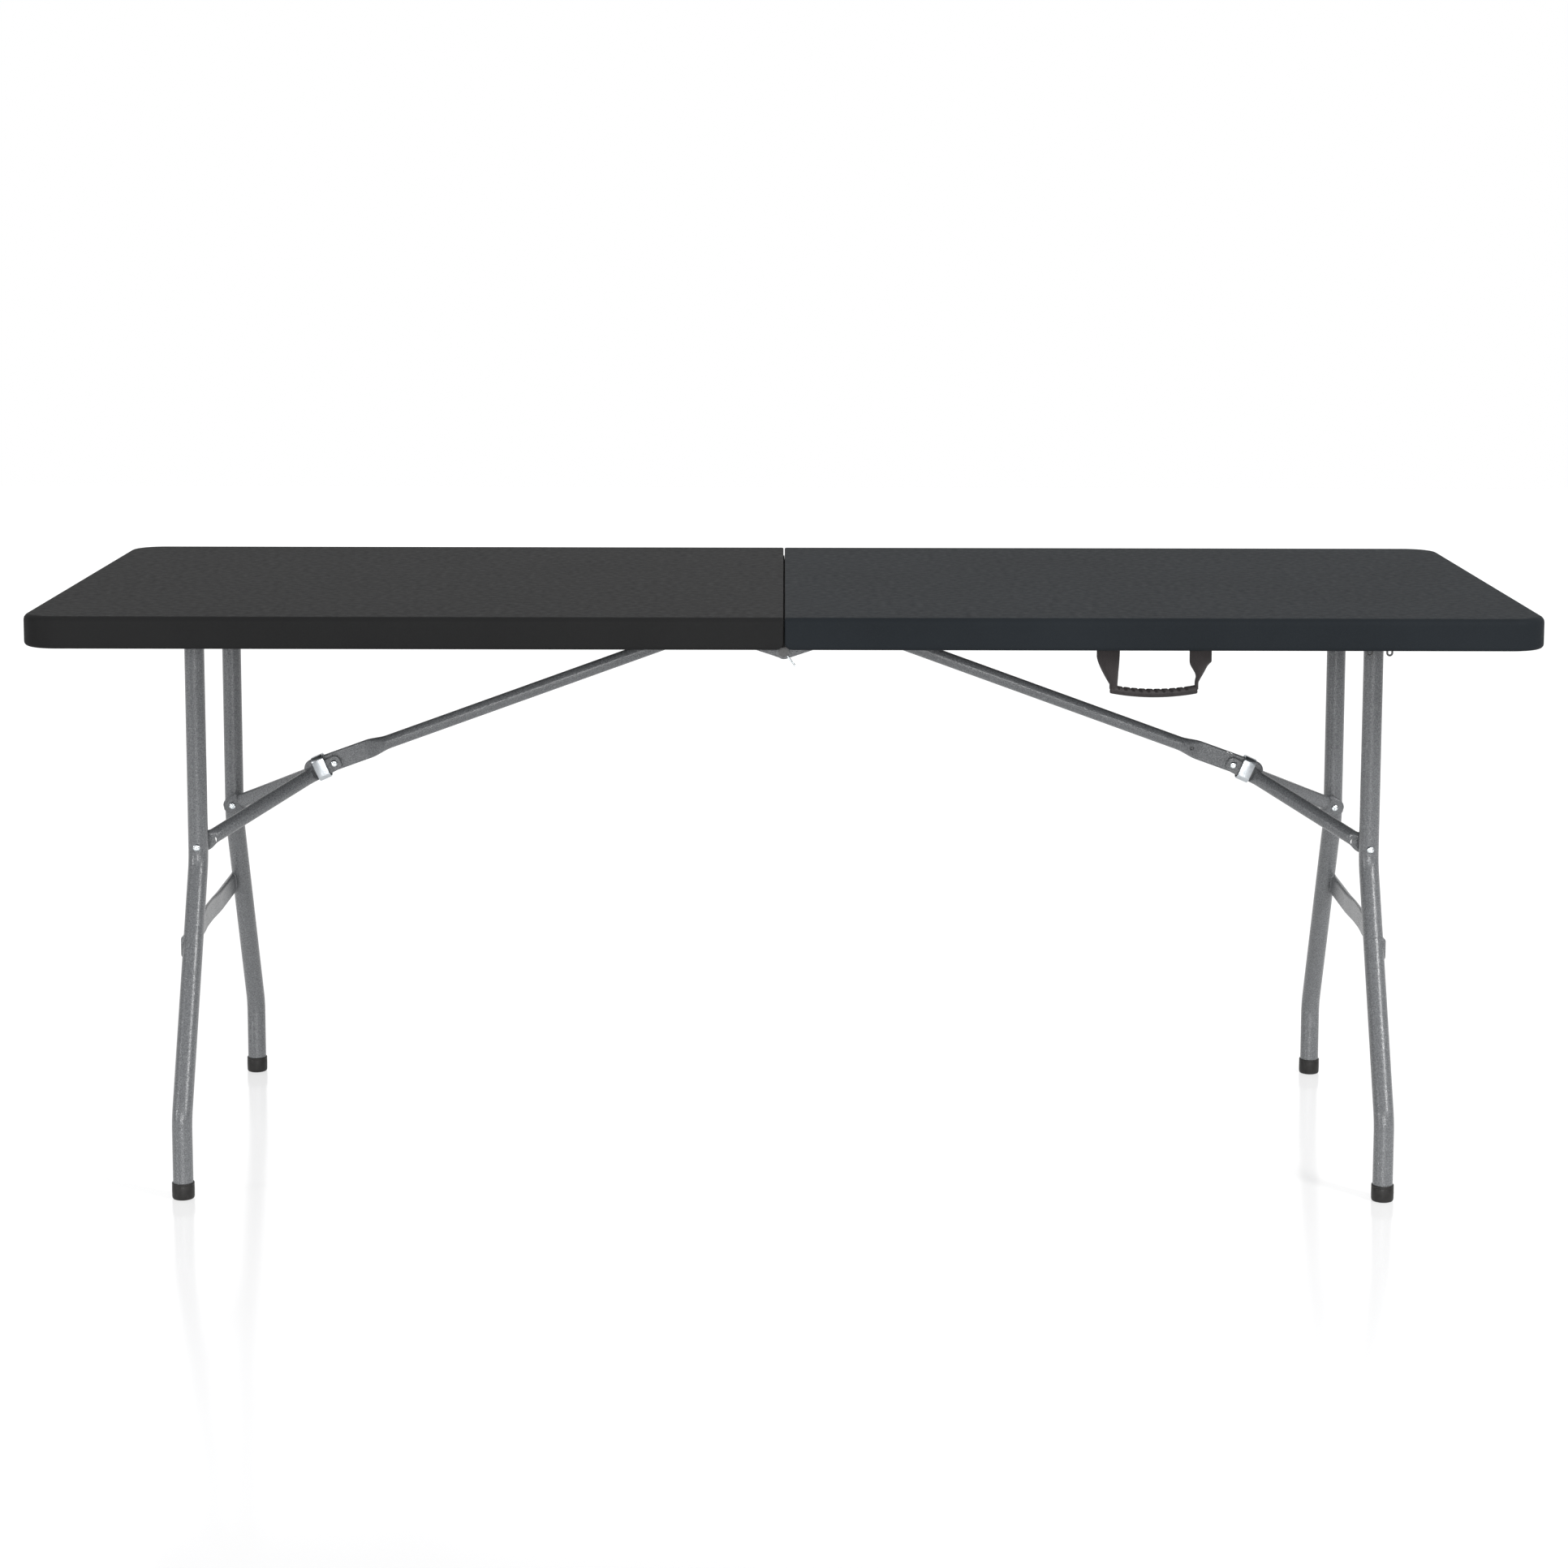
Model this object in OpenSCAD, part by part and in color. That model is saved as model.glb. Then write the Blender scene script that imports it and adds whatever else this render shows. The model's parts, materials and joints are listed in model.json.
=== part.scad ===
// Folding table: two moulded top halves hinged at the middle, steel rails underneath, and at each
// end a wishbone pair of legs held by a brace tube, a two-armed fork and a sliding lock ring.
// Millimetres. +X along the table, +Y to the rear, +Z up; the origin is on the floor at the middle.
// Everything is drawn for the left end; the right end is its mirror image.

/* [Tabletop] */
// Length of the open table, end to end
table_length = 1830; // [1820:1:1840]
// Depth of the table, front to rear
table_depth = 760; // [756:1:770]
// Height of the top surface above the floor
table_height = 738; // [734:1:744]
// Height of the moulded rim
rim_depth = 39; // [38:0.5:42]
// Thickness of the rim wall
rim_width = 18; // [14:1:19]
// Radius of the end corners in plan
corner_radius = 45; // [30:1:60]
// Rounding along the top edge
top_fillet = 8; // [4:1:10]
// Rounding along the bottom outer edge
low_fillet = 5; // [2:0.5:6]
// Thickness of the core between the rims
core_thickness = 15; // [13:0.5:15]
// Gap between the two halves
seam_gap = 1.5; // [1:0.1:2]
// Rounding of the rim's lower corners at the seam
seam_corner = 10; // [4:1:12]

/* [Centre hinge] */
// Distance of the hinge axis below the rim
hinge_drop = 5.5; // [5:0.1:6]
// Radius of the hinge pins
hinge_pin_r = 6.4; // [5:0.1:7]
// Radius of the plates round the hinge pins
hinge_eye_r = 10; // [9:0.1:11]
// Thickness of the hinge plates
hinge_plate = 3; // [2.5:0.1:3]

/* [Rails] */
// Height of the steel rails
rail_height = 26; // [25:0.5:27]
// Width of the steel rails
rail_width = 20; // [16:1:20]
// Distance from the middle to the rails' inner faces
rail_inner_y = 318; // [317:0.5:320]

/* [Legs] */
// Outer diameter of the leg tubes
leg_tube_d = 25; // [22:0.5:25]
// Distance of the leg frames from the table's ends
leg_inset = 171; // [168:1:176]
// Distance of the legs from the middle at the top
leg_top_y = 145; // [140:1:150]
// Distance of the legs from the middle at the floor
leg_foot_y = 301.5; // [295:0.5:302]
// Height of the upper bend
upper_bend_z = 395; // [392:1:398]
// Height of the lower bend
lower_bend_z = 100; // [90:1:120]
// Radius of the bends
bend_radius = 60; // [50:1:70]
// Height of the flat-oval crossbar
crossbar_z = 295; // [285:1:305]
// Outer diameter of the foot caps
cap_d = 28; // [27:0.5:28]
// Height of the foot caps
cap_height = 21; // [16:1:26]

/* [Brace linkage] */
// Distance of the fork rivets below the leg pivot
fork_drop = 295; // [293:0.5:297]
// Distance of the brace pivot from the seam
brace_pivot_x = 20; // [19:0.5:22]
// Distance of the brace pivot below the top surface
brace_pivot_drop = 34; // [33.5:0.1:34.5]
// Extra length in brace and fork that keeps the knee raised when open
knee_rise = 1.2; // [0.9:0.1:1.4]
// Outer diameter of the brace tube
brace_d = 18; // [16:0.5:18]
// Outer diameter of the fork arms
arm_d = 19; // [17:0.5:19]
// Length of the lock ring
ring_length = 16; // [14:1:18]

/* [Handle] */
// Distance of the handle's middle from the seam
handle_x = 444; // [430:1:460]
// Width of the webbing straps
strap_width = 28; // [24:1:30]
// Distance between the straps' outer edges
handle_span = 136; // [130:1:142]
// Distance of the grip's lower edge below the rim
grip_drop = 59; // [55:1:62]

/* [Hidden] */
$fn = 48;
eps = 0.01;
tube_wall = 1.2;
run_gap = 0.05;             // running fit of a pin in its bore
face_gap = 0.3;             // between flat faces that slide past each other
blend_inset = 0.05;         // of a blended shape's ends from the faces they run into
blend_depth = 0.4;

half_len = table_length / 2;
half_depth = table_depth / 2;
rim_bottom = table_height - rim_depth;
core_bottom = table_height - core_thickness;
rim_inner_y = half_depth - rim_width;
fold_z = rim_bottom - hinge_drop;
seam_lip = [9, 10];         // length and depth of the stiffening lip along the seam
groove = [32, 4];           // width and depth of the groove above the folded brace
groove_x = [50, 690];       // from the seam

rail_bottom = core_bottom - rail_height;
rail_x = [14, half_len - 35];
rail_wall = 1.5;
rail_screw_x = [70, 300, 520, 820];
screw_r = 2;
screw_head = [4.5, 1.6];
screw_grip = 8;             // length of a screw in the core

leg_r = leg_tube_d / 2;
leg_x = half_len - leg_inset;
pivot_z = rim_bottom + 9.5;
pivot_pin_r = 6;
pivot_bar_y = rail_inner_y - 8;
leg_slope = atan2(leg_foot_y - leg_top_y, upper_bend_z - lower_bend_z);
rivet_r = 3;
rivet_head = [4.6, 2];

// The linkage lies in the X-Z plane of the left end; points are [x, z].
leg_pivot = [-leg_x, pivot_z];
fork_rest = [-leg_x, pivot_z - fork_drop];
fork_folded = [-leg_x + fork_drop, pivot_z];
brace_pivot = [-brace_pivot_x, table_height - brace_pivot_drop];
reach_rest = norm(fork_rest - brace_pivot);
reach_folded = norm(fork_folded - brace_pivot);
knee_offset = 2;            // of the knee rivet below the brace tube's axis
// Folded, the fork lies back along the brace; open, the two are almost straight.
fork_length = (reach_rest + knee_rise - reach_folded) / 2;
brace_length = fork_length + reach_folded;
knee = upper_meet(fork_rest, fork_length, brace_pivot, brace_length);
brace_angle = direction(knee, brace_pivot) - asin(knee_offset / brace_length);
fork_angle = direction(knee, fork_rest);
brace_plate = [5, 25];      // thickness and width of the flattened end
brace_tail = 41;            // from the knee rivet to the free end
brace_flat = 48;            // from the knee rivet to where the tube starts to round out
brace_round = 74;
rod_r = 5;
sleeve = [8.5, 36];         // radius and width of the sleeve on the cross rod

arm_plate = 4;
arm_tab_r = 10;
arm_foot_r = 12.5;          // round end at the leg
arm_tab_y = brace_plate[0] / 2 + face_gap;
arm_side_y = leg_top_y - leg_r - 1;

ring_wall = 1.5;
ring_open = [20, 29.6];     // inner width and height
ring_corner = 6;            // inner corner radius
ring_tilt = 4;              // of the ring from the brace towards the fork
ring_at = -18;              // along the brace from the knee rivet
ring_low = 1.6;             // of the ring's middle below the brace tube's axis

crossbar = [8, 28];         // thickness and height
crossbar_out = leg_r + 2;   // outer face from the leg axis
crossbar_press = [4.6, 14, 60]; // thickness and half width where it is pressed flat, and the run-out
crossbar_reach = 3;         // past the leg axis

strap_thick = 2;
strap_y = -rim_inner_y + 4; // middle of the webbing
flex_z = rim_bottom - 2;    // where the webbing bends out under the rim
grip_d = 10.6;
grip_sag = 5;
grip_half = 51;
grip_z = rim_bottom - grip_drop + grip_d / 2;
strap_foot = [13, 24];      // inner and outer edge at the grip, from the strap's outer edge

hook_x = [706, 730];
hook_wire_r = 1.2;
hook_pivot_z = rim_bottom + 6;
hook_bend_r = 3;
hook_y = -rim_inner_y + 7;

function direction(a, b) = atan2(b[1] - a[1], b[0] - a[0]);
function at(p, length, angle) = p + length * [cos(angle), sin(angle)];
function upper_meet(a, ra, b, rb) =
    let (d = norm(b - a), along = (d * d + ra * ra - rb * rb) / (2 * d), u = (b - a) / d)
    a + along * u + sqrt(ra * ra - along * along) * [-u[1], u[0]];

// ---- helpers ----

// Children drawn along +X are placed at point p of the X-Z plane and turned up by angle
module in_plane(p, angle = 0) {
    translate([p[0], 0, p[1]]) rotate([0, -angle, 0]) children();
}

// Cylinder along Y from y0 to y1 at [x, z]
module pin(p, r, y0, y1) {
    translate([p[0], min(y0, y1), p[1]]) rotate([-90, 0, 0]) cylinder(r = r, h = abs(y1 - y0));
}

// Box from its lowest to its highest corner
module block(low, high) {
    translate(low) cube(high - low);
}

// Plate in the X-Z plane with a round end at x0 and a square end at x1
module tab(x0, x1, z, width, y0, y1) {
    block([x0 + width / 2, y0, z - width / 2], [x1, y1, z + width / 2]);
    pin([x0 + width / 2, z], width / 2, y0, y1);
}

// Disc just inside the end of a tube that runs in the X-Y plane, for a flattened end to blend into
module tube_end(p, angle, r, inwards) {
    translate([p[0], p[1], 0]) rotate([0, 0, angle]) rotate([0, inwards * 90, 0])
        cylinder(r = r - blend_inset, h = blend_depth, $fn = 32);
}

// Slice just inside the end of a plate that spans y0 to y1, for a tube's end to blend into
module plate_end(x, y0, y1, r) {
    block([x, y0 + blend_inset, blend_inset - r], [x + blend_depth / 4, y1 - blend_inset, r - blend_inset]);
}

// Button head, base at z = 0, rising along +Z
module button_head(size) {
    cylinder(r = size[0], h = size[1] / 2);
    translate([0, 0, size[1] / 2]) cylinder(r1 = size[0], r2 = size[0] * 0.7, h = size[1] / 2);
}

// Button head on a face at y, facing dir along Y
module side_head(p, y, dir, size) {
    translate([p[0], y, p[1]]) rotate([-90 * dir, 0, 0]) button_head(size);
}

// ---- tabletop ----

// Section of the rim and the core beside it: x runs outwards from the corner's centre
module rim_section() {
    wall_x = corner_radius - rim_width;
    translate([0, core_bottom]) square([corner_radius - top_fillet, core_thickness]);
    translate([wall_x, rim_bottom]) square([rim_width - low_fillet, rim_depth - top_fillet]);
    translate([wall_x, rim_bottom + low_fillet])
        square([rim_width, rim_depth - top_fillet - low_fillet]);
    translate([corner_radius - low_fillet, rim_bottom + low_fillet]) circle(low_fillet);
    translate([corner_radius - top_fillet, table_height - top_fillet]) circle(top_fillet);
}

// Straight length of rim along +X, its outer face towards -Y
module rim_run(length) {
    translate([length, 0, 0]) rotate([90, 0, -90]) linear_extrude(length) rim_section();
}

module rail_screws_at() {
    for (x = rail_screw_x, s = [-1, 1])
        translate([-x, s * (rail_inner_y + rail_width / 2), rail_bottom]) children();
}

module left_top_panel() color([0.26, 0.26, 0.27]) {
    corner_x = -half_len + corner_radius;
    corner_y = half_depth - corner_radius;
    run = half_len - corner_radius - seam_gap / 2;
    difference() {
        union() {
            block([corner_x, -corner_y, core_bottom], [-seam_gap / 2, corner_y, table_height]);
            for (m = [0, 1]) mirror([0, m, 0]) {
                translate([corner_x, -corner_y, 0]) rim_run(run);
                translate([corner_x, -corner_y, 0]) rotate([0, 0, 180]) rotate_extrude(angle = 90) rim_section();
            }
            translate([corner_x, corner_y, 0]) rotate([0, 0, -90]) rim_run(2 * corner_y);
            block([-seam_gap / 2 - seam_lip[0], -rim_inner_y - eps, core_bottom - seam_lip[1]],
                  [-seam_gap / 2, rim_inner_y + eps, core_bottom + eps]);
        }
        seam_rounding();
        block([-groove_x[1], -groove[0] / 2, core_bottom - eps],
              [-groove_x[0], groove[0] / 2, core_bottom + groove[1]]);
        rail_screws_at() cylinder(r = screw_r, h = rail_height + screw_grip);
        for (s = [-1, 1])
            block([-seam_gap / 2 - seam_lip[0] - 1, s * (rail_inner_y + 12) - 17, fold_z],
                  [0, s * (rail_inner_y + 12) + 17, core_bottom]);
    }
}

// What is cut from the rim's lower corners at the seam
module seam_rounding() {
    translate([-seam_gap / 2 - seam_corner, half_depth + 1, rim_bottom + seam_corner])
        rotate([90, 0, 0]) linear_extrude(table_depth + 2) difference() {
            translate([0, -seam_corner - 1]) square([seam_corner + 1, seam_corner + 1]);
            circle(seam_corner);
        }
}

module right_top_panel() mirror([1, 0, 0]) left_top_panel();

// ---- rails and cross rod ----

module side_rail(s) color([0.42, 0.44, 0.46]) difference() {
    y = s > 0 ? rail_inner_y : -rail_inner_y - rail_width;
    block([-rail_x[1], y, rail_bottom], [-rail_x[0], y + rail_width, core_bottom]);
    block([-rail_x[1] - 1, y + rail_wall, rail_bottom + rail_wall],
          [-rail_x[0] + 1, y + rail_width - rail_wall, core_bottom - rail_wall]);
    pin(leg_pivot, pivot_pin_r + run_gap, y - 1, y + rail_width + 1);
    pin(brace_pivot, rod_r, y - 1, y + rail_width + 1);
    rail_screws_at() translate([0, 0, -1]) cylinder(r = screw_r, h = rail_height + 2);
}

module left_front_rail() side_rail(-1);
module left_rear_rail() side_rail(1);
module right_front_rail() mirror([1, 0, 0]) side_rail(-1);
module right_rear_rail() mirror([1, 0, 0]) side_rail(1);

module left_rail_screws() color([0.7, 0.7, 0.7]) rail_screws_at() {
    cylinder(r = screw_r, h = rail_height + screw_grip);
    mirror([0, 0, 1]) button_head(screw_head);
}

module right_rail_screws() mirror([1, 0, 0]) left_rail_screws();

module left_cross_rod() color([0.5, 0.52, 0.54]) {
    end_y = rail_inner_y + rail_width;
    pin(brace_pivot, rod_r, -end_y, end_y);
}

module right_cross_rod() mirror([1, 0, 0]) left_cross_rod();

// ---- centre hinges ----

hinge_y = rail_inner_y + rail_width;    // inner face of the left plates
plate_top = core_bottom - 2;
plate_reach = 90;
plate_slope_x = 48;
hinge_pin_out = hinge_y + 2 * hinge_plate + face_gap + 8;
split_y = hinge_pin_out - 4;            // of the split pins
split_tilt = 38;                        // of a split pin from the upright
split_pin = [1.1, 22.7, 9];             // radius, and reach below and above the hinge axis

// Plate from the rail to the hinge axis, in the X-Z plane at the rear, from y to y + hinge_plate
module hinge_plate_at(y, bore) difference() {
    union() {
        translate([0, y + hinge_plate, 0]) rotate([90, 0, 0]) linear_extrude(hinge_plate) union() {
            translate([0, fold_z]) circle(hinge_eye_r);
            polygon([[-plate_reach, plate_top], [-plate_reach, rim_bottom + 2], [-plate_slope_x, rim_bottom],
                     [-hinge_eye_r * sin(15), fold_z - hinge_eye_r * cos(15)],
                     [0, fold_z - hinge_eye_r * cos(15)], [0, fold_z + hinge_eye_r],
                     [-seam_gap / 2 - hinge_eye_r - 2, plate_top]]);
        }
    }
    pin([0, fold_z], bore, y - 1, y + hinge_plate + 1);
}

module hinge_plates(layer, bore) color([0.4, 0.42, 0.44])
    hinge_plate_at(hinge_y + layer * (hinge_plate + face_gap), bore);

module left_rear_hinge_plate() hinge_plates(0, hinge_pin_r);
module left_front_hinge_plate() mirror([0, 1, 0]) hinge_plates(0, hinge_pin_r);
module right_rear_hinge_plate() mirror([1, 0, 0]) hinge_plates(1, hinge_pin_r + run_gap);
module right_front_hinge_plate() mirror([1, 0, 0]) mirror([0, 1, 0]) hinge_plates(1, hinge_pin_r + run_gap);

module rear_hinge_pin() color([0.3, 0.31, 0.33]) difference() {
    pin([0, fold_z], hinge_pin_r, hinge_y - 6, hinge_pin_out);
    translate([0, split_y, fold_z]) rotate([0, -split_tilt, 0]) cylinder(r = split_pin[0], h = 20, center = true);
}

module front_hinge_pin() mirror([0, 1, 0]) rear_hinge_pin();

// Split pins that keep the hinge pins in, each with its loop above and its tail below the hinge
module hinge_split_pins() color([0.75, 0.76, 0.78]) for (s = [-1, 1])
    translate([0, s * split_y, fold_z]) rotate([0, -split_tilt, 0]) {
        translate([0, 0, -split_pin[1]]) cylinder(r = split_pin[0], h = split_pin[1] + split_pin[2]);
        translate([0, 0, split_pin[2] + 1.5]) rotate([90, 0, 0]) rotate_extrude() translate([1.9, 0]) circle(0.9);
    }

// ---- leg frames ----

// Path of a leg tube in its own plane: x is the distance from the table's middle line, y is height.
// Drawn with radius r, so that the same path cuts the inside of the tube.
module leg_path(r, foot_z, top_z) {
    setback = bend_radius * tan(leg_slope / 2);
    low_c = [leg_foot_y - bend_radius, lower_bend_z - setback];
    high_c = [leg_top_y + bend_radius, upper_bend_z + setback];
    low_end = low_c + bend_radius * [cos(leg_slope), sin(leg_slope)];
    high_end = high_c - bend_radius * [cos(leg_slope), sin(leg_slope)];
    translate([leg_foot_y, foot_z, 0]) rotate([-90, 0, 0]) cylinder(r = r, h = low_c[1] - foot_z);
    translate([low_c[0], low_c[1], 0]) rotate_extrude(angle = leg_slope) translate([bend_radius, 0]) circle(r);
    translate([low_end[0], low_end[1], 0]) rotate([0, 0, leg_slope]) rotate([-90, 0, 0])
        cylinder(r = r, h = norm(high_end - low_end));
    translate([high_c[0], high_c[1], 0]) rotate([0, 0, 180]) rotate_extrude(angle = leg_slope)
        translate([bend_radius, 0]) circle(r);
    translate([leg_top_y, high_c[1], 0]) rotate([-90, 0, 0]) cylinder(r = r, h = top_z - high_c[1]);
}

// The leg path stood up in the Y-Z plane at the left leg frame, rear side
module leg_stood(r, foot_z, top_z) {
    translate([-leg_x, 0, 0]) rotate([90, 0, 90]) leg_path(r, foot_z, top_z);
}

module left_rear_leg() color([0.45, 0.47, 0.49]) difference() {
    leg_stood(leg_r, 3, pivot_z);
    leg_stood(leg_r - tube_wall, 2, pivot_z + 1);
    pin(leg_pivot, leg_r, leg_top_y - leg_tube_d, leg_top_y + leg_tube_d);
    pin(fork_rest, rivet_r, leg_top_y - leg_tube_d, leg_top_y + leg_tube_d);
}

module left_front_leg() mirror([0, 1, 0]) left_rear_leg();
module right_front_leg() mirror([1, 0, 0]) left_front_leg();
module right_rear_leg() mirror([1, 0, 0]) left_rear_leg();

module left_pivot_bar() color([0.45, 0.47, 0.49]) {
    difference() {
        pin(leg_pivot, leg_r, -pivot_bar_y, pivot_bar_y);
        pin(leg_pivot, leg_r - tube_wall, -pivot_bar_y - 1, pivot_bar_y + 1);
    }
    for (s = [-1, 1]) {
        pin(leg_pivot, leg_r - tube_wall, s * (pivot_bar_y - 12), s * pivot_bar_y);
        pin(leg_pivot, pivot_pin_r, s * (pivot_bar_y - eps), s * (rail_inner_y + rail_width + 2));
    }
}

module right_pivot_bar() mirror([1, 0, 0]) left_pivot_bar();

// Distance of the sloping leg from the middle line at height z
function leg_y(z) = leg_top_y + (upper_bend_z - z) * tan(leg_slope);

// The sloping part of the left rear leg, lengthened a little at both ends
module leg_slant(r) {
    low = [leg_y(lower_bend_z), lower_bend_z];
    translate([-leg_x, low[0], low[1]]) rotate([leg_slope, 0, 0])
        cylinder(r = r, h = (upper_bend_z - lower_bend_z) / cos(leg_slope));
}

module left_crossbar() color([0.43, 0.45, 0.47]) difference() {
    end_y = leg_y(crossbar_z) + crossbar_reach;
    mid_x = -leg_x - crossbar_out + crossbar[0] / 2;
    round_z = crossbar[1] / 2 - crossbar[0] / 2;
    union() {
        block([mid_x - crossbar[0] / 2, -end_y, crossbar_z - round_z],
              [mid_x + crossbar[0] / 2, end_y, crossbar_z + round_z]);
        for (s = [-1, 1]) pin([mid_x, crossbar_z + s * round_z], crossbar[0] / 2, -end_y, end_y);
    }
    for (m = [0, 1]) mirror([0, m, 0]) leg_slant(leg_r);
    // pressed flat in the middle, so that the brace lies over it when folded
    translate([0, 0, crossbar_z - crossbar[1]]) linear_extrude(2 * crossbar[1])
        polygon([for (s = [-1, 1], e = [0, 1])
            let (k = s > 0 ? 1 - e : e)
            [-leg_x - crossbar_out + (k ? crossbar_press[0] : crossbar[0] + 1),
             s * (crossbar_press[1] + (k ? 0 : crossbar_press[2]))]]);
}

module right_crossbar() mirror([1, 0, 0]) left_crossbar();

module left_foot_caps() color([0.2, 0.19, 0.19]) for (s = [-1, 1])
    translate([-leg_x, s * leg_foot_y, 0]) difference() {
        union() {
            cylinder(r = cap_d / 2 - 1, h = 1);
            translate([0, 0, 1]) cylinder(r = cap_d / 2, h = cap_height - 1);
        }
        translate([0, 0, 3]) cylinder(r = leg_r, h = cap_height);
    }

module right_foot_caps() mirror([1, 0, 0]) left_foot_caps();

// Outer halves of the rivets that hold the fork to the legs
module left_leg_rivets() color([0.72, 0.74, 0.76]) for (s = [-1, 1]) {
    pin(fork_rest, rivet_r, s * (leg_top_y - leg_r), s * (leg_top_y + leg_r));
    side_head(fork_rest, s * (leg_top_y + leg_r), s, rivet_head);
}

module right_leg_rivets() mirror([1, 0, 0]) left_leg_rivets();

// ---- braces ----

// Frame at the knee rivet, +X up along the brace tube
module on_brace() in_plane(knee, brace_angle) children();

sleeve_x = sqrt(brace_length * brace_length - knee_offset * knee_offset);

module left_brace() color([0.42, 0.44, 0.47]) on_brace() {
    difference() {
        tab(-brace_tail, brace_flat, knee_offset, brace_plate[1], -brace_plate[0] / 2, brace_plate[0] / 2);
        pin([0, 0], rivet_r, -brace_plate[0], brace_plate[0]);
    }
    hull() {
        block([brace_flat - eps, -brace_plate[0] / 2, knee_offset - brace_plate[1] / 2],
              [brace_flat, brace_plate[0] / 2, knee_offset + brace_plate[1] / 2]);
        translate([brace_round, 0, knee_offset]) rotate([0, 90, 0]) cylinder(r = brace_d / 2, h = eps, $fn = 32);
    }
    translate([0, 0, knee_offset]) rotate([0, 90, 0]) difference() {
        translate([0, 0, brace_round]) cylinder(r = brace_d / 2, h = sleeve_x - brace_round);
        translate([0, 0, brace_round + 1]) cylinder(r = brace_d / 2 - tube_wall, h = sleeve_x);
        translate([0, 0, sleeve_x]) rotate([90, 0, 0]) cylinder(r = sleeve[0], h = sleeve[1], center = true);
    }
    difference() {
        pin([sleeve_x, knee_offset], sleeve[0], -sleeve[1] / 2, sleeve[1] / 2);
        pin([sleeve_x, knee_offset], rod_r + run_gap, -sleeve[1], sleeve[1]);
    }
}

module right_brace() mirror([1, 0, 0]) left_brace();

module left_knee_rivet() color([0.75, 0.77, 0.78]) {
    outer_y = arm_tab_y + arm_plate;
    pin(knee, rivet_r, -outer_y - face_gap, outer_y + face_gap);
    for (s = [-1, 1]) side_head(knee, s * (outer_y + face_gap / 2), s, rivet_head);
}

module right_knee_rivet() mirror([1, 0, 0]) left_knee_rivet();

// ---- forks ----

arm_bend = 30;              // from the knee rivet to where the arms spread
arm_start = [44, 17];       // along the fork and from its middle, where the arm becomes a tube
arm_stop_back = 26;         // the same at the leg, before the fork rivet

// Arm on the +Y side in the fork's own frame: +X from the knee rivet to the fork rivet
module arm() {
    stop = [fork_length - arm_stop_back, arm_side_y - arm_plate - 9];
    spread = atan2(stop[1] - arm_start[1], stop[0] - arm_start[0]);
    length = norm(stop - arm_start);
    inner = arm_tab_y;
    outer = arm_tab_y + arm_plate;
    difference() {
        tab(-arm_tab_r, arm_bend, 0, 2 * arm_tab_r, inner, outer);
        pin([0, 0], rivet_r + run_gap, -1, outer + 1);
    }
    hull() {
        plate_end(arm_bend - blend_depth, inner, outer, arm_tab_r);
        tube_end(arm_start, spread, arm_d / 2, 1);
    }
    translate([arm_start[0], arm_start[1], 0]) rotate([0, 0, spread]) rotate([0, 90, 0]) difference() {
        cylinder(r = arm_d / 2, h = length);
        translate([0, 0, 1]) cylinder(r = arm_d / 2 - tube_wall, h = length - 2);
    }
    hull() {
        tube_end(stop, spread, arm_d / 2, -1);
        plate_end(fork_length - arm_foot_r + blend_depth, arm_side_y - arm_plate, arm_side_y, arm_foot_r);
    }
    difference() {
        mirror([1, 0, 0]) tab(-fork_length - arm_foot_r, -fork_length + arm_foot_r, 0, 2 * arm_foot_r,
                              arm_side_y - arm_plate, arm_side_y);
        pin([fork_length, 0], rivet_r, arm_side_y - 2 * arm_plate, arm_side_y + 1);
    }
}

module left_rear_arm() color([0.43, 0.45, 0.47]) in_plane(knee, fork_angle) arm();
module left_front_arm() mirror([0, 1, 0]) left_rear_arm();
module right_front_arm() mirror([1, 0, 0]) left_front_arm();
module right_rear_arm() mirror([1, 0, 0]) left_rear_arm();

// Inner halves of the rivets that hold the fork to the legs
module left_fork_rivets() color([0.72, 0.74, 0.76]) for (s = [-1, 1]) {
    pin(fork_rest, rivet_r, s * (arm_side_y - arm_plate), s * arm_side_y);
    side_head(fork_rest, s * (arm_side_y - arm_plate), -s, rivet_head);
}

module right_fork_rivets() mirror([1, 0, 0]) left_fork_rivets();

// ---- lock rings ----

module ring_plan(grow) {
    w = ring_open[0] / 2 + grow;
    h = ring_open[1] / 2 + grow;
    r = ring_corner + grow;
    square([2 * (w - r), 2 * h], center = true);
    square([2 * w, 2 * (h - r)], center = true);
    for (x = [-1, 1], y = [-1, 1]) translate([x * (w - r), y * (h - r)]) circle(r);
}

module left_lock_ring() color([0.76, 0.78, 0.8]) in_plane(knee, brace_angle)
    translate([ring_at, 0, knee_offset - ring_low]) rotate([90, 0, 90]) rotate([-ring_tilt, 0, 0])
        linear_extrude(ring_length, center = true) difference() {
            ring_plan(ring_wall);
            ring_plan(0);
        }

module right_lock_ring() mirror([1, 0, 0]) left_lock_ring();

// ---- carrying handle ----

// Mirrored about the handle's middle for the second strap
module strap_side(m) {
    translate([handle_x, 0, 0]) mirror([m, 0, 0]) children();
}

module webbing(points) {
    translate([0, strap_y + strap_thick / 2, 0]) rotate([90, 0, 0]) linear_extrude(strap_thick) polygon(points);
}

module strap(m) color([0.22, 0.2, 0.2]) strap_side(m) {
    x = -handle_span / 2;
    low_z = grip_z + grip_d / 2 + grip_sag + face_gap;
    webbing([[x, flex_z], [x + strap_width, flex_z], [x + strap_foot[1] + 3, low_z + 2.5],
             [x + strap_foot[1], low_z], [x + strap_foot[0], low_z], [x + 2, flex_z - 14]]);
    translate([x, strap_y, flex_z]) rotate([0, 90, 0]) cylinder(r = strap_thick / 2, h = strap_width);
}

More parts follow.
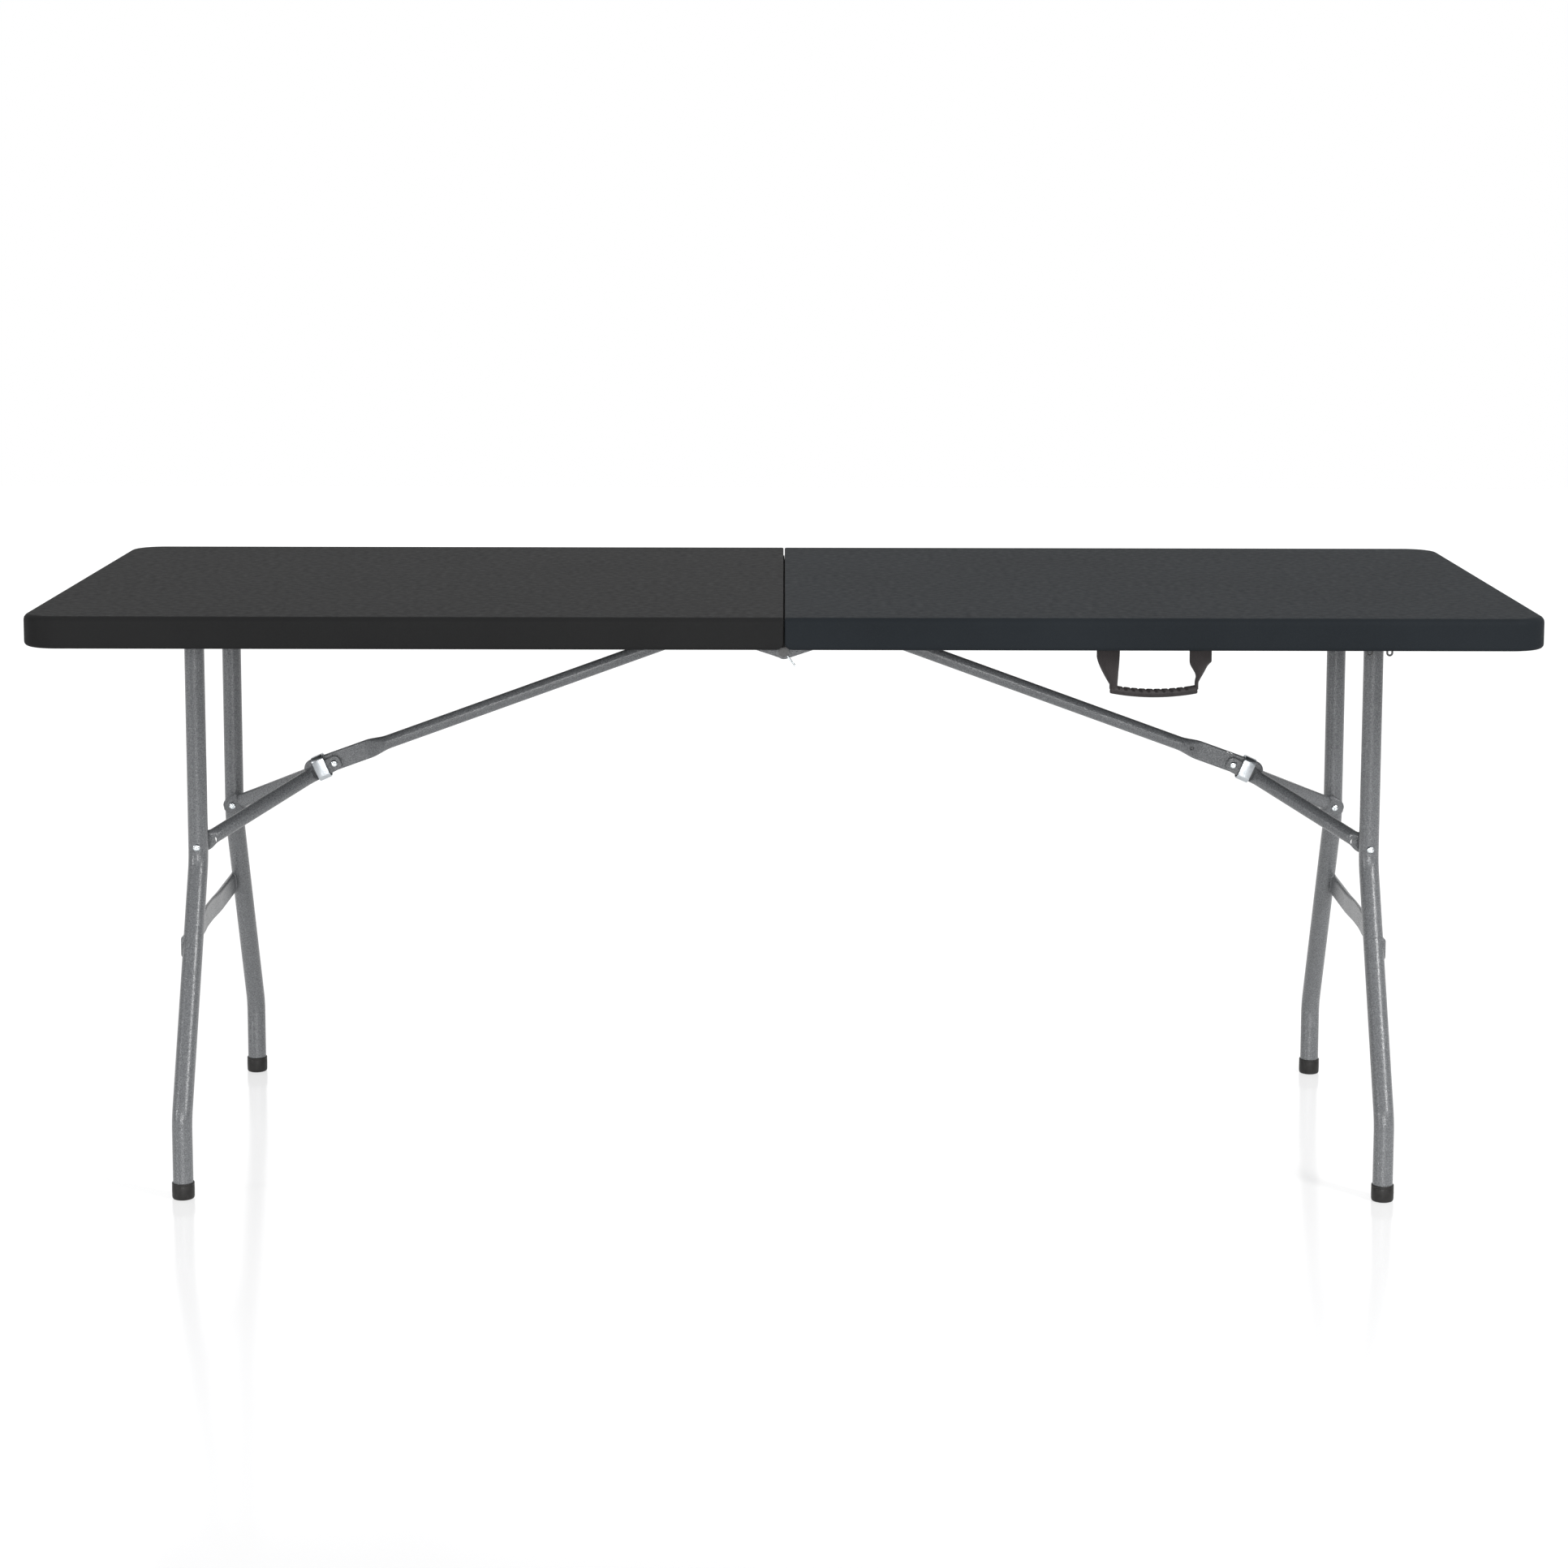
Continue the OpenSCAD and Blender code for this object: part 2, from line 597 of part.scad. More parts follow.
module strap_root(m) color([0.22, 0.2, 0.2]) strap_side(m) {
    x = -handle_span / 2;
    low_z = flex_z + strap_thick / 2 + run_gap;
    webbing([[x, low_z], [x + strap_width, low_z], [x + strap_width, flex_z + 18], [x, flex_z + 18]]);
}

module handle_left_strap() strap(0);
module handle_right_strap() strap(1);
module handle_left_root() strap_root(0);
module handle_right_root() strap_root(1);

// Plates and screws that clamp the webbing to the inside of the rim
module handle_anchors() color([0.5, 0.52, 0.54]) for (m = [0, 1]) strap_side(m) {
    x = -handle_span / 2 + strap_width / 2;
    top = flex_z + 17;
    block([x - 15, -rim_inner_y, top - 12], [x + 15, strap_y - strap_thick / 2, top]);
    translate([x, strap_y + strap_thick / 2, top - 6]) rotate([-90, 0, 0]) button_head([5, 2.4]);
}

module handle_grip() color([0.2, 0.18, 0.18]) {
    arc_r = (grip_half * grip_half + grip_sag * grip_sag) / (2 * grip_sag);
    sweep = 2 * asin(grip_half / arc_r);
    translate([handle_x, strap_y, grip_z + arc_r]) rotate([90, 0, 0])
        rotate([0, 0, -90 - sweep / 2]) rotate_extrude(angle = sweep) translate([arc_r, 0]) circle(grip_d / 2);
}

// ---- closure hooks ----

hook_bail = [-14, 14];      // ends of the wire's pivot, from the middle of the hooks
hook_mid = (hook_x[0] + hook_x[1]) / 2;

module closure_bracket() color([0.5, 0.52, 0.54]) difference() {
    union() {
        block([hook_mid - 20, -rim_inner_y, hook_pivot_z - 4], [hook_mid + 20, -rim_inner_y + 2, hook_pivot_z + 10]);
        for (x = [-20, 16.5])
            block([hook_mid + x, -rim_inner_y + 1, hook_pivot_z - 4],
                  [hook_mid + x + 3.5, hook_y + 4, hook_pivot_z + 4]);
    }
    translate([hook_mid - 21, hook_y, hook_pivot_z]) rotate([0, 90, 0]) cylinder(r = hook_wire_r + run_gap, h = 42);
}

module closure_hooks() color([0.2, 0.2, 0.21]) translate([0, hook_y, 0]) {
    translate([hook_mid - 19, 0, hook_pivot_z]) rotate([0, 90, 0]) cylinder(r = hook_wire_r, h = 38);
    for (x = hook_x) translate([x, 0, 0]) {
        translate([0, 0, rim_bottom - 5]) cylinder(r = hook_wire_r, h = hook_pivot_z - rim_bottom + 5);
        translate([-hook_bend_r, 0, rim_bottom - 5]) rotate([90, 0, 0]) rotate([0, 0, 180])
            rotate_extrude(angle = 180) translate([hook_bend_r, 0]) circle(hook_wire_r);
        translate([-2 * hook_bend_r, 0, rim_bottom - 5]) cylinder(r = hook_wire_r, h = 4);
    }
}

// Posts on the other half that the hooks catch when the table is folded up
module closure_keepers() color([0.6, 0.62, 0.64]) for (x = hook_x) {
    block([-x - 7, -rim_inner_y, rim_bottom - 1], [-x + 12, -rim_inner_y + 2, rim_bottom + 10]);
    translate([-x + hook_bend_r, -rim_inner_y + 1, rim_bottom + 1]) rotate([-90, 0, 0]) cylinder(r = 1.4, h = 11);
}

left_top_panel();
right_top_panel();
left_front_rail();
left_rear_rail();
right_front_rail();
right_rear_rail();
left_rail_screws();
right_rail_screws();
left_cross_rod();
right_cross_rod();
left_front_hinge_plate();
left_rear_hinge_plate();
right_front_hinge_plate();
right_rear_hinge_plate();
front_hinge_pin();
rear_hinge_pin();
hinge_split_pins();
left_front_leg();
left_rear_leg();
left_pivot_bar();
left_crossbar();
left_foot_caps();
left_leg_rivets();
right_front_leg();
right_rear_leg();
right_pivot_bar();
right_crossbar();
right_foot_caps();
right_leg_rivets();
left_brace();
left_knee_rivet();
left_front_arm();
left_rear_arm();
left_fork_rivets();
left_lock_ring();
right_brace();
right_knee_rivet();
right_front_arm();
right_rear_arm();
right_fork_rivets();
right_lock_ring();
handle_left_strap();
handle_right_strap();
handle_left_root();
handle_right_root();
handle_anchors();
handle_grip();
closure_bracket();
closure_hooks();
closure_keepers();
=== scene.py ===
"""Folding table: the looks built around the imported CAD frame.

Metres, +Z up, +X along the table, +Y to the rear, with the origin on the floor at the middle.
Each end is made at the left and mirrored to the right, as in the CAD model.
"""

import json
import math

import bmesh
import bpy
from mathutils import Matrix, Vector


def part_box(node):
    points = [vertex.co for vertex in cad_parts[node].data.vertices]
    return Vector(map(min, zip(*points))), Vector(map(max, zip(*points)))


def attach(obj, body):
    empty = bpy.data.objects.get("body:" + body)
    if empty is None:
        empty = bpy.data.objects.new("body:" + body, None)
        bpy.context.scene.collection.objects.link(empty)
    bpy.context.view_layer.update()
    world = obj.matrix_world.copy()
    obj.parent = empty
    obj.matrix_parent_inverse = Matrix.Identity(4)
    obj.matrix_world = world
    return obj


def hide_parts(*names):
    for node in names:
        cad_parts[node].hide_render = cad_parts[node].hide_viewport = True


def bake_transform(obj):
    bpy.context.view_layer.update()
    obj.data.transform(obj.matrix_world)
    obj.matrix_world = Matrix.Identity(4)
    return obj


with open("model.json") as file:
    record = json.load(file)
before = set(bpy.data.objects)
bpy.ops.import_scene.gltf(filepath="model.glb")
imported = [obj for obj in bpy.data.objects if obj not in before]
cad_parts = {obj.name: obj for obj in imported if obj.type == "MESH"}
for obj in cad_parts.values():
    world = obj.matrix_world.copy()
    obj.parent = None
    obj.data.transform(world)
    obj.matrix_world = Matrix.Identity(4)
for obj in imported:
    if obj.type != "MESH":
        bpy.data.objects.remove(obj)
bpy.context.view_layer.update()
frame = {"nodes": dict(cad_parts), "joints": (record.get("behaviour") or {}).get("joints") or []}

MM = 0.001
TURN = 2 * math.pi
SIDES = ("left", "right")
TUBE_SIDES = 44
QUADRANTS = ((1, 1, 0), (-1, 1, 90), (-1, -1, 180), (1, -1, 270))    # signs and start angle

# ---- places from the frame


def pivot(joint):
    """Where a joint's axis is, in metres."""
    return Vector(next(j for j in frame["joints"] if j["name"] == joint)["pos_m"])


def middle(node):
    low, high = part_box(node)
    return (low + high) / 2


def extent(node):
    low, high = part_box(node)
    return high - low


def in_plane(point, angle):
    """Frame in the X-Z plane at point: local +X is turned up by angle from the row's +X."""
    return Matrix.Translation((point.x, 0, point.z)) @ Matrix.Rotation(-angle, 4, "Y")


def slope(a, b):
    return math.atan2(b.z - a.z, b.x - a.x)


# ---- mesh helpers


def link(name, data):
    obj = bpy.data.objects.new(name, data)
    bpy.context.scene.collection.objects.link(obj)
    return obj


def mesh_object(name, points, faces):
    data = bpy.data.meshes.new(name)
    data.from_pydata([tuple(p) for p in points], [], faces)
    return link(name, data)


def outward(obj):
    """Turns every face of a closed mesh outwards."""
    work = bmesh.new()
    work.from_mesh(obj.data)
    bmesh.ops.recalc_face_normals(work, faces=work.faces)
    work.to_mesh(obj.data)
    work.free()
    return obj


def skin(name, rings, looped=False):
    """Closed surface through rings of equally many points; looped joins the last to the first."""
    count, size = len(rings), len(rings[0])
    faces = []
    for i in range(count if looped else count - 1):
        a, b = i * size, (i + 1) % count * size
        faces += [(a + j, a + (j + 1) % size, b + (j + 1) % size, b + j) for j in range(size)]
    if not looped:
        faces += [tuple(reversed(range(size))), tuple(range((count - 1) * size, count * size))]
    return outward(mesh_object(name, [p for ring in rings for p in ring], faces))


def ring_of(place, outline, along=0.0):
    """Points of a 2-D outline in the local Y-Z plane of place, moved along its X axis."""
    return [place @ Vector((along, y, z)) for y, z in outline]


def stadium(half_thick, half_wide, count=TUBE_SIDES):
    """Outline of a flattened tube, thick in its first coordinate and wide in its second."""
    r = min(half_thick, half_wide)
    flat = half_wide - r
    round_half = math.pi * r
    length = 2 * round_half + 4 * flat
    points = []
    for k in range(count):
        s = (k + 0.5) / count * length
        sign = 1
        if s > length / 2:
            s -= length / 2
            sign = -1
        if s < flat:
            points.append((sign * r, sign * s))
        elif s < flat + round_half:
            turn = (s - flat) / r
            points.append((sign * r * math.cos(turn), sign * (flat + r * math.sin(turn))))
        else:
            points.append((-sign * r, sign * (2 * flat + round_half - s)))
    return points


def circle(r, count=TUBE_SIDES):
    return stadium(r, r, count)


UPRIGHT = Matrix.Rotation(-math.pi / 2, 4, "Y")


def lathe(name, profile, place, count):
    """Solid turned about the local X axis of place. profile holds (radius, distance along X) pairs."""
    turns = [TURN * k / count for k in range(count)]
    rings = [ring_of(place, [(r * math.cos(a), r * math.sin(a)) for a in turns], along)
             for r, along in profile]
    return skin(name, rings)


def share(value, low=0.0, high=1.0):
    """How far a value has come from low to high, kept between 0 and 1."""
    return min(1.0, max(0.0, (value - low) / (high - low)))


def ease(t):
    t = share(t)
    return t * t * (3 - 2 * t)


def swell(t):
    """From 0 to 1, steep at first and flat at the end, as a pressed tube opens out."""
    return math.sin(math.pi / 2 * share(t)) ** 1.2


def mix(a, b, t):
    return a + (b - a) * t


def fillet_in(depth, radius):
    """How far a round edge of that radius stands in from the side, at a depth below the edge."""
    if depth >= radius:
        return 0.0
    return radius - math.sqrt(max(0.0, radius * radius - (radius - depth) ** 2))


def apply_modifiers(obj):
    graph = bpy.context.evaluated_depsgraph_get()
    made = bpy.data.meshes.new_from_object(obj.evaluated_get(graph))
    obj.modifiers.clear()
    obj.data = made


def cut(obj, *cutters, operation="DIFFERENCE"):
    """Cuts closed cutters out of a closed mesh, and removes them."""
    for cutter in cutters:
        step = obj.modifiers.new("cut", "BOOLEAN")
        step.operation = operation
        step.solver = "MANIFOLD"
        step.object = cutter
    apply_modifiers(obj)
    for cutter in cutters:
        bpy.data.objects.remove(cutter)


def joined(name, parts):
    """One mesh object of several, which are removed."""
    work = bmesh.new()
    for part in parts:
        work.from_mesh(part.data)
    data = bpy.data.meshes.new(name)
    work.to_mesh(data)
    work.free()
    for part in parts:
        bpy.data.objects.remove(part)
    return link(name, data)


TO_RIGHT = Matrix.Diagonal((-1, 1, 1, 1))
TO_FRONT = Matrix.Diagonal((1, -1, 1, 1))


def mirrored(obj, name, way=TO_RIGHT):
    """Copy of a left-hand mesh for the right-hand side, or of a rear one for the front."""
    data = obj.data.copy()
    data.transform(way)
    data.flip_normals()
    return link(name, data)


def shade(obj, material, sharp=32, weighted=False):
    """Smooth shading with creases over sharp degrees, and the material."""
    obj.data.materials.clear()
    obj.data.materials.append(material)
    obj.data.shade_smooth()
    obj.data.set_sharp_from_angle(angle=math.radians(sharp))
    if weighted:
        step = obj.modifiers.new("even normals", "WEIGHTED_NORMAL")
        step.keep_sharp = True
    return obj


def settle(obj, body, slot, *nodes):
    """The piece moves with body and stands for the CAD nodes, which it hides; slot is not used."""
    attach(obj, body)
    if nodes:
        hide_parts(*nodes)


def soften(node, width):
    """Rounds a CAD node's edges a little, which leaves its own mesh as it is."""
    obj = frame["nodes"][node]
    step = obj.modifiers.new("soft edges", "BEVEL")
    step.width = width
    step.segments = 2
    step.limit_method = "ANGLE"
    step.angle_limit = math.radians(40)
    step.harden_normals = True
    return obj


# ---- material helpers


def plug(tree, socket, value):
    """Links an output to a socket or sets the socket's value; a colour may leave out its alpha."""
    if isinstance(value, bpy.types.NodeSocket):
        tree.links.new(value, socket)
    elif socket.type == "RGBA" and len(value) == 3:
        socket.default_value = (*value, 1)
    else:
        socket.default_value = value


def add_node(tree, kind, settings=None, **inputs):
    made = tree.nodes.new("ShaderNode" + kind)
    for key, value in (settings or {}).items():
        setattr(made, key, value)
    for key, value in inputs.items():
        plug(tree, made.inputs[key.replace("_", " ")], value)
    return made


class Finish:
    """A node material on the Principled shader, with textures in the piece's own coordinates."""

    def __init__(self, name):
        self.material = bpy.data.materials.new(name)
        self.material.use_nodes = True
        self.tree = self.material.node_tree
        self.shader = self.tree.nodes["Principled BSDF"]
        self.place = self.tree.nodes.new("ShaderNodeTexCoord").outputs["Object"]

    def node(self, kind, settings=None, **inputs):
        return add_node(self.tree, kind, settings, **inputs)

    def scaled(self, factors):
        made = self.node("VectorMath", {"operation": "MULTIPLY"})
        plug(self.tree, made.inputs[0], self.place)
        made.inputs[1].default_value = factors
        return made.outputs[0]

    def noise(self, size, detail=2.0, place=None):
        """Soft noise whose features are about size metres across."""
        return self.node("TexNoise", Vector=place or self.place, Scale=1 / size, Detail=detail).outputs[0]

    def cells(self, size, feature="F1"):
        return self.node("TexVoronoi", {"feature": feature}, Vector=self.place, Scale=1 / size)

    def ramp(self, value, *stops):
        """Colours along a value; stops hold (position, colour) pairs."""
        made = self.node("ValToRGB", Fac=value)
        elements = made.color_ramp.elements
        while len(elements) < len(stops):
            elements.new(0.5)
        for element, (position, colour) in zip(elements, stops):
            element.position = position
            element.color = (*colour, 1)
        return made.outputs[0]

    def span(self, value, low, high, from_low=0.3, from_high=0.7):
        """A value carried from one span to another."""
        made = self.node("MapRange", Value=value, From_Min=from_low, From_Max=from_high,
                         To_Min=low, To_Max=high)
        return made.outputs[0]

    def math(self, operation, a, b=0.0):
        made = self.node("Math", {"operation": operation})
        plug(self.tree, made.inputs[0], a)
        plug(self.tree, made.inputs[1], b)
        return made.outputs[0]

    def blend(self, factor, a, b):
        made = self.node("Mix", {"data_type": "RGBA"})
        plug(self.tree, made.inputs[0], factor)
        plug(self.tree, made.inputs[6], a)
        plug(self.tree, made.inputs[7], b)
        return made.outputs[2]

    def bump(self, height, distance, strength):
        return self.node("Bump", Height=height, Distance=distance, Strength=strength).outputs[0]

    def set(self, **inputs):
        for key, value in inputs.items():
            plug(self.tree, self.shader.inputs[key.replace("_", " ")], value)
        return self.material


def grey(level, warm=0.0):
    """Neutral linear colour, a little warmer or, with warm below 0, cooler."""
    return (level * (1 + warm), level, level * (1 - warm))


def rosy(level):
    """Dark colour with the faint red cast of the grip and its webbing."""
    return (level * 1.16, level, level * 1.01)


# ---- materials


def moulded_plastic(name, cool, level):
    """Blow-moulded polyethylene: near-black, with a fine pebble grain and slight clouding. The cool and
    level arguments also carry painted light: a cooler, brighter copy paints bluish light on one half.
    """
    f = Finish(name)
    cloud = f.noise(0.16, 4)
    grain = f.noise(1.1 * MM, 3)
    pebble = f.cells(1.6 * MM).outputs["Distance"]
    scuff = f.noise(9 * MM, 5)
    clouded = f.ramp(cloud, (0.3, grey(0.0125 * level, -cool)), (0.7, grey(0.0155 * level, -cool)))
    colour = f.blend(f.span(grain, 0.0, 0.45), clouded, grey(0.0180 * level, -cool))
    height = f.math("ADD", f.math("MULTIPLY", pebble, 0.8), grain)
    return f.set(Base_Color=colour, Roughness=f.span(scuff, 0.52, 0.64),
                 Normal=f.bump(height, 0.05 * MM, 0.7), Specular_IOR_Level=0.035)


def hammered_paint():
    """Grey hammer-finish powder coat: mottled, with small glossy dimples and faint lighter flecks."""
    f = Finish("hammered_paint")
    dimples = f.cells(1.7 * MM, "SMOOTH_F1")
    highlight_spots = f.cells(0.9 * MM)
    mottle = f.noise(1.5 * MM, 4)
    broad = f.noise(45 * MM, 3)
    pick = f.node("SeparateColor", Color=highlight_spots.outputs["Color"]).outputs[0]
    base = f.blend(f.span(mottle, 0.0, 1.0), grey(0.090, -0.045), grey(0.155, -0.035))
    base = f.blend(f.span(broad, 0.0, 0.35), base, grey(0.120, -0.04))
    fleck = f.span(pick, 0.0, 0.5, 0.80, 0.95)
    height = f.math("ADD", dimples.outputs["Distance"], f.math("MULTIPLY", mottle, 0.5))
    return f.set(Base_Color=f.blend(fleck, base, grey(0.27, -0.03)), Metallic=0.0,
                 Roughness=f.span(mottle, 0.22, 0.36), Normal=f.bump(height, 0.26 * MM, 0.7))


def zinc_plate(name, colours, roughness):
    """Zinc plate: bluish, with a faint spangle."""
    f = Finish(name)
    spangle = f.noise(3 * MM, 3)
    fine = f.noise(0.8 * MM, 2)
    colour = f.ramp(spangle, (0.3, colours[0]), (0.7, colours[1]))
    return f.set(Base_Color=colour, Metallic=1.0, Roughness=f.span(spangle, *roughness),
                 Normal=f.bump(fine, 0.01 * MM, 0.4))


def cap_plastic():
    """Polyethylene foot caps: warm black, scuffed in patches."""
    f = Finish("cap_plastic")
    grain = f.noise(0.9 * MM, 3)
    scuff = f.noise(5 * MM, 5)
    colour = f.ramp(scuff, (0.35, grey(0.012, 0.05)), (0.75, grey(0.020, 0.05)))
    return f.set(Base_Color=colour, Roughness=f.span(scuff, 0.40, 0.58),
                 Normal=f.bump(grain, 0.04 * MM, 0.6), Specular_IOR_Level=0.28)


def grip_plastic():
    """Soft moulded grip: warm black, finely grained."""
    f = Finish("grip_plastic")
    grain = f.noise(0.7 * MM, 3)
    wear = f.noise(8 * MM, 4)
    colour = f.ramp(wear, (0.3, rosy(0.016)), (0.7, rosy(0.025)))
    return f.set(Base_Color=colour, Roughness=f.span(grain, 0.50, 0.66),
                 Normal=f.bump(grain, 0.05 * MM, 0.7), Specular_IOR_Level=0.3)


def woven_webbing():
    """Polypropylene webbing: a plain weave laid out along the strap by the mesh's own cloth coordinates."""
    f = Finish("woven_webbing")
    cloth = f.node("Attribute", {"attribute_name": "cloth"}).outputs["Vector"]
    split = f.node("SeparateXYZ", Vector=cloth)
    across = f.math("SINE", f.math("MULTIPLY", split.outputs[0], math.pi / (1.5 * MM)))
    along = f.math("SINE", f.math("MULTIPLY", split.outputs[1], math.pi / (1.1 * MM)))
    weave = f.math("MULTIPLY", across, along)
    fuzz = f.noise(0.6 * MM, 4)
    over = f.span(weave, 0.0, 1.0, -0.6, 0.6)
    colour = f.blend(over, rosy(0.015), rosy(0.026))
    colour = f.blend(f.span(fuzz, 0.0, 0.35), colour, rosy(0.036))
    height = f.math("ADD", f.math("ABSOLUTE", weave), f.math("MULTIPLY", fuzz, 0.4))
    return f.set(Base_Color=colour, Roughness=0.82, Normal=f.bump(height, 0.25 * MM, 0.9),
                 Sheen_Weight=0.15, Sheen_Roughness=0.5, Specular_IOR_Level=0.25)


def dark_steel():
    """Oxidised steel wire and pins: dark, slightly streaked."""
    f = Finish("dark_steel")
    streak = f.noise(1.5 * MM, 4, f.scaled((1, 1, 0.3)))
    colour = f.ramp(streak, (0.3, grey(0.05)), (0.7, grey(0.11)))
    return f.set(Base_Color=colour, Metallic=0.7, Roughness=f.span(streak, 0.35, 0.5),
                 Normal=f.bump(streak, 0.03 * MM, 0.5))


def highlight_metal():
    """Bright bare-steel colour for the small spots that are painted highlights."""
    f = Finish("highlight_metal")
    painted_glint = f.noise(0.8 * MM, 3)
    return f.set(Base_Color=f.ramp(painted_glint, (0.3, grey(0.45)), (0.7, grey(0.85))), Metallic=0.8,
                 Roughness=f.span(painted_glint, 0.3, 0.5), Normal=f.bump(painted_glint, 0.05 * MM, 0.5))


# The right half's copy is cooler and brighter: painted bluish light over that whole half, on the same
# plastic as the left.
PLASTIC = {"left": moulded_plastic("moulded_plastic", 0.01, 1.04),
           "right": moulded_plastic("moulded_plastic_painted_blue_light", 0.16, 1.18)}
PAINT = hammered_paint()
ZINC = zinc_plate("bright_zinc", ((0.60, 0.64, 0.66), (0.76, 0.80, 0.81)), (0.17, 0.26))
BAND_ZINC = zinc_plate("dull_zinc", ((0.50, 0.53, 0.55), (0.56, 0.59, 0.61)), (0.30, 0.34))
CAP = cap_plastic()
GRIP = grip_plastic()
WEBBING = woven_webbing()
DARK = dark_steel()
HIGHLIGHT_METAL = highlight_metal()

# ---- tabletop

RIM = 18 * MM
TOP_FILLET = 8 * MM
LOW_FILLET = 5 * MM
SEAM_CORNER = 10 * MM
SEAM_EDGE = 2 * MM
CORNER = 45 * MM
CORE = 15 * MM
LIP = (9 * MM, 10 * MM)
LIP_EDGE = 1.5 * MM
RECESS_DRAFT = 1.2 * MM
RECESS_ROOT = 3.5 * MM
RECESS_SEAM_R = 4 * MM
EDGE_BREAK = 0.4 * MM
CLEAR = 5 * MM                      # how far a cutter reaches out of an open side
PAST_SEAM = 12 * MM

KISS_PITCH = 45 * MM
KISS_ROWS = 6
KISS_FIRST_Y = 50 * MM
KISS_MARGIN = (38 * MM, 45 * MM)    # from the seam and from the end
KISS_MOUTH, KISS_ROOT = 9.5 * MM, 5 * MM
KISS_EDGE = 1.5 * MM
SKIN = 3 * MM

KEY_REACH = 1.6 * MM
KEY_GAP = 0.8 * MM
KEY_FROM_ENDS = 7 * MM
KEY_Z = (2.5 * MM, 11 * MM)         # above the lower face and below the upper one
HINGE_ROOM = (15 * MM, 9 * MM)      # from the rail's middle and past the plate's middle
GROOVE_HALF, GROOVE_DEEP = 16 * MM, 4 * MM
GROOVE_X = (50 * MM, 54 * MM)       # from the seam and short of the leg's pivot


def half_outline(low, high, out_in, seam_in, seam_r=SEAM_EDGE):
    """Plan of a top half, set in from its box: big round corners at the end, small ones at the seam."""
    x0, x1 = low.x + seam_in, high.x - out_in
    y1 = high.y - out_in
    big = CORNER - out_in
    corners = (((x0 + seam_r, -y1 + seam_r), seam_r, 180, 6), ((x1 - big, -y1 + big), big, 270, 20),
               ((x1 - big, y1 - big), big, 0, 20), ((x0 + seam_r, y1 - seam_r), seam_r, 90, 6))
    points = []
    for (cx, cy), r, start, steps in corners:
        for k in range(steps + 1):
            a = math.radians(start + 90 * k / steps)
            points.append((cx + r * math.cos(a), cy + r * math.sin(a)))
    return points


def level_ring(outline, z):
    return [Vector((x, y, z)) for x, y in outline]


def panel_body(low, high):
    """Outer form of a top half, with round edges all round and open round corners below the seam."""
    height = high.z - low.z
    steps = [LOW_FILLET * (1 - math.cos(math.pi / 2 * (k / 5))) for k in range(6)]
    steps += [SEAM_CORNER * 0.7, SEAM_CORNER]
    steps += [height - TOP_FILLET * (1 - math.sin(math.pi / 2 * k / 8)) for k in range(9)]
    rings = []
    for up in sorted(set(steps)):
        out_in = fillet_in(up, LOW_FILLET) + fillet_in(height - up, TOP_FILLET)
        seam_in = fillet_in(up, SEAM_CORNER) + fillet_in(height - up, SEAM_EDGE)
        rings.append(level_ring(half_outline(low, high, out_in, seam_in), low.z + up))
    return skin("panel", rings)


def recess(low, high):
    """Hollow under a top half, inside the rims and behind the seam's lip, with draft and round roots."""
    core_z = high.z - CORE
    lip_z = core_z - LIP[1]
    levels = [(low.z - CLEAR, 0.0, -PAST_SEAM), (low.z, 0.0, -PAST_SEAM),
              (lip_z, RECESS_DRAFT * 0.6, -PAST_SEAM), (lip_z, RECESS_DRAFT * 0.6, LIP[0] - LIP_EDGE),
              (lip_z + LIP_EDGE, RECESS_DRAFT * 0.7, LIP[0]), (core_z - RECESS_ROOT, RECESS_DRAFT, LIP[0])]
    for k in range(1, 6):
        turn = math.pi / 2 * k / 5
        inset = RECESS_ROOT * (1 - math.cos(turn))
        levels.append((core_z - RECESS_ROOT * (1 - math.sin(turn)), RECESS_DRAFT + inset, LIP[0] + inset))
    rings = []
    for z, inset, seam_in in levels:
        rings.append(level_ring(half_outline(low, high, RIM + inset, seam_in, RECESS_SEAM_R), z))
    return skin("recess", rings)


def tapered_block(x_span, y_span, z0, z1, draft, corner):
    """Cutter with round corners in plan that narrows by draft from z0 to z1."""
    rings = []
    for z, inset in ((z0, 0.0), (mix(z0, z1, 0.75), draft * 0.6), (z1, draft + EDGE_BREAK)):
        points = []
        for sx, sy, start in QUADRANTS:
            cx = (x_span[1] - corner if sx > 0 else x_span[0] + corner) - sx * inset
            cy = (y_span[1] - corner if sy > 0 else y_span[0] + corner) - sy * inset
            for k in range(5):
                a = math.radians(start + 90 * k / 4)
                points.append(Vector((cx + corner * math.cos(a), cy + corner * math.sin(a), z)))
        rings.append(points)
    return skin("block", rings)


def kiss_offs(low, high, core_z):
    """Moulded dimples that tie the lower skin to the upper one, in staggered rows between the rails."""
    depth = high.z - core_z - SKIN
    profile = [(KISS_MOUTH + KISS_EDGE, -0.5 * MM), (KISS_MOUTH, 0.6 * MM),
               (mix(KISS_MOUTH, KISS_ROOT, 0.55), depth * 0.5),
               (KISS_ROOT, depth - KISS_EDGE), (KISS_ROOT - KISS_EDGE, depth)]
    dimples = []
    for side in (-1, 1):
        for row in range(KISS_ROWS):
            y = side * (KISS_FIRST_Y + row * KISS_PITCH)
            x = low.x + KISS_MARGIN[0] + KISS_PITCH / 2 * (row % 2)
            while x < high.x - KISS_MARGIN[1]:
                dimples.append(lathe("dimple", profile, Matrix.Translation((x, y, core_z)) @ UPRIGHT, 18))
                x += KISS_PITCH
    return joined("dimples", dimples)


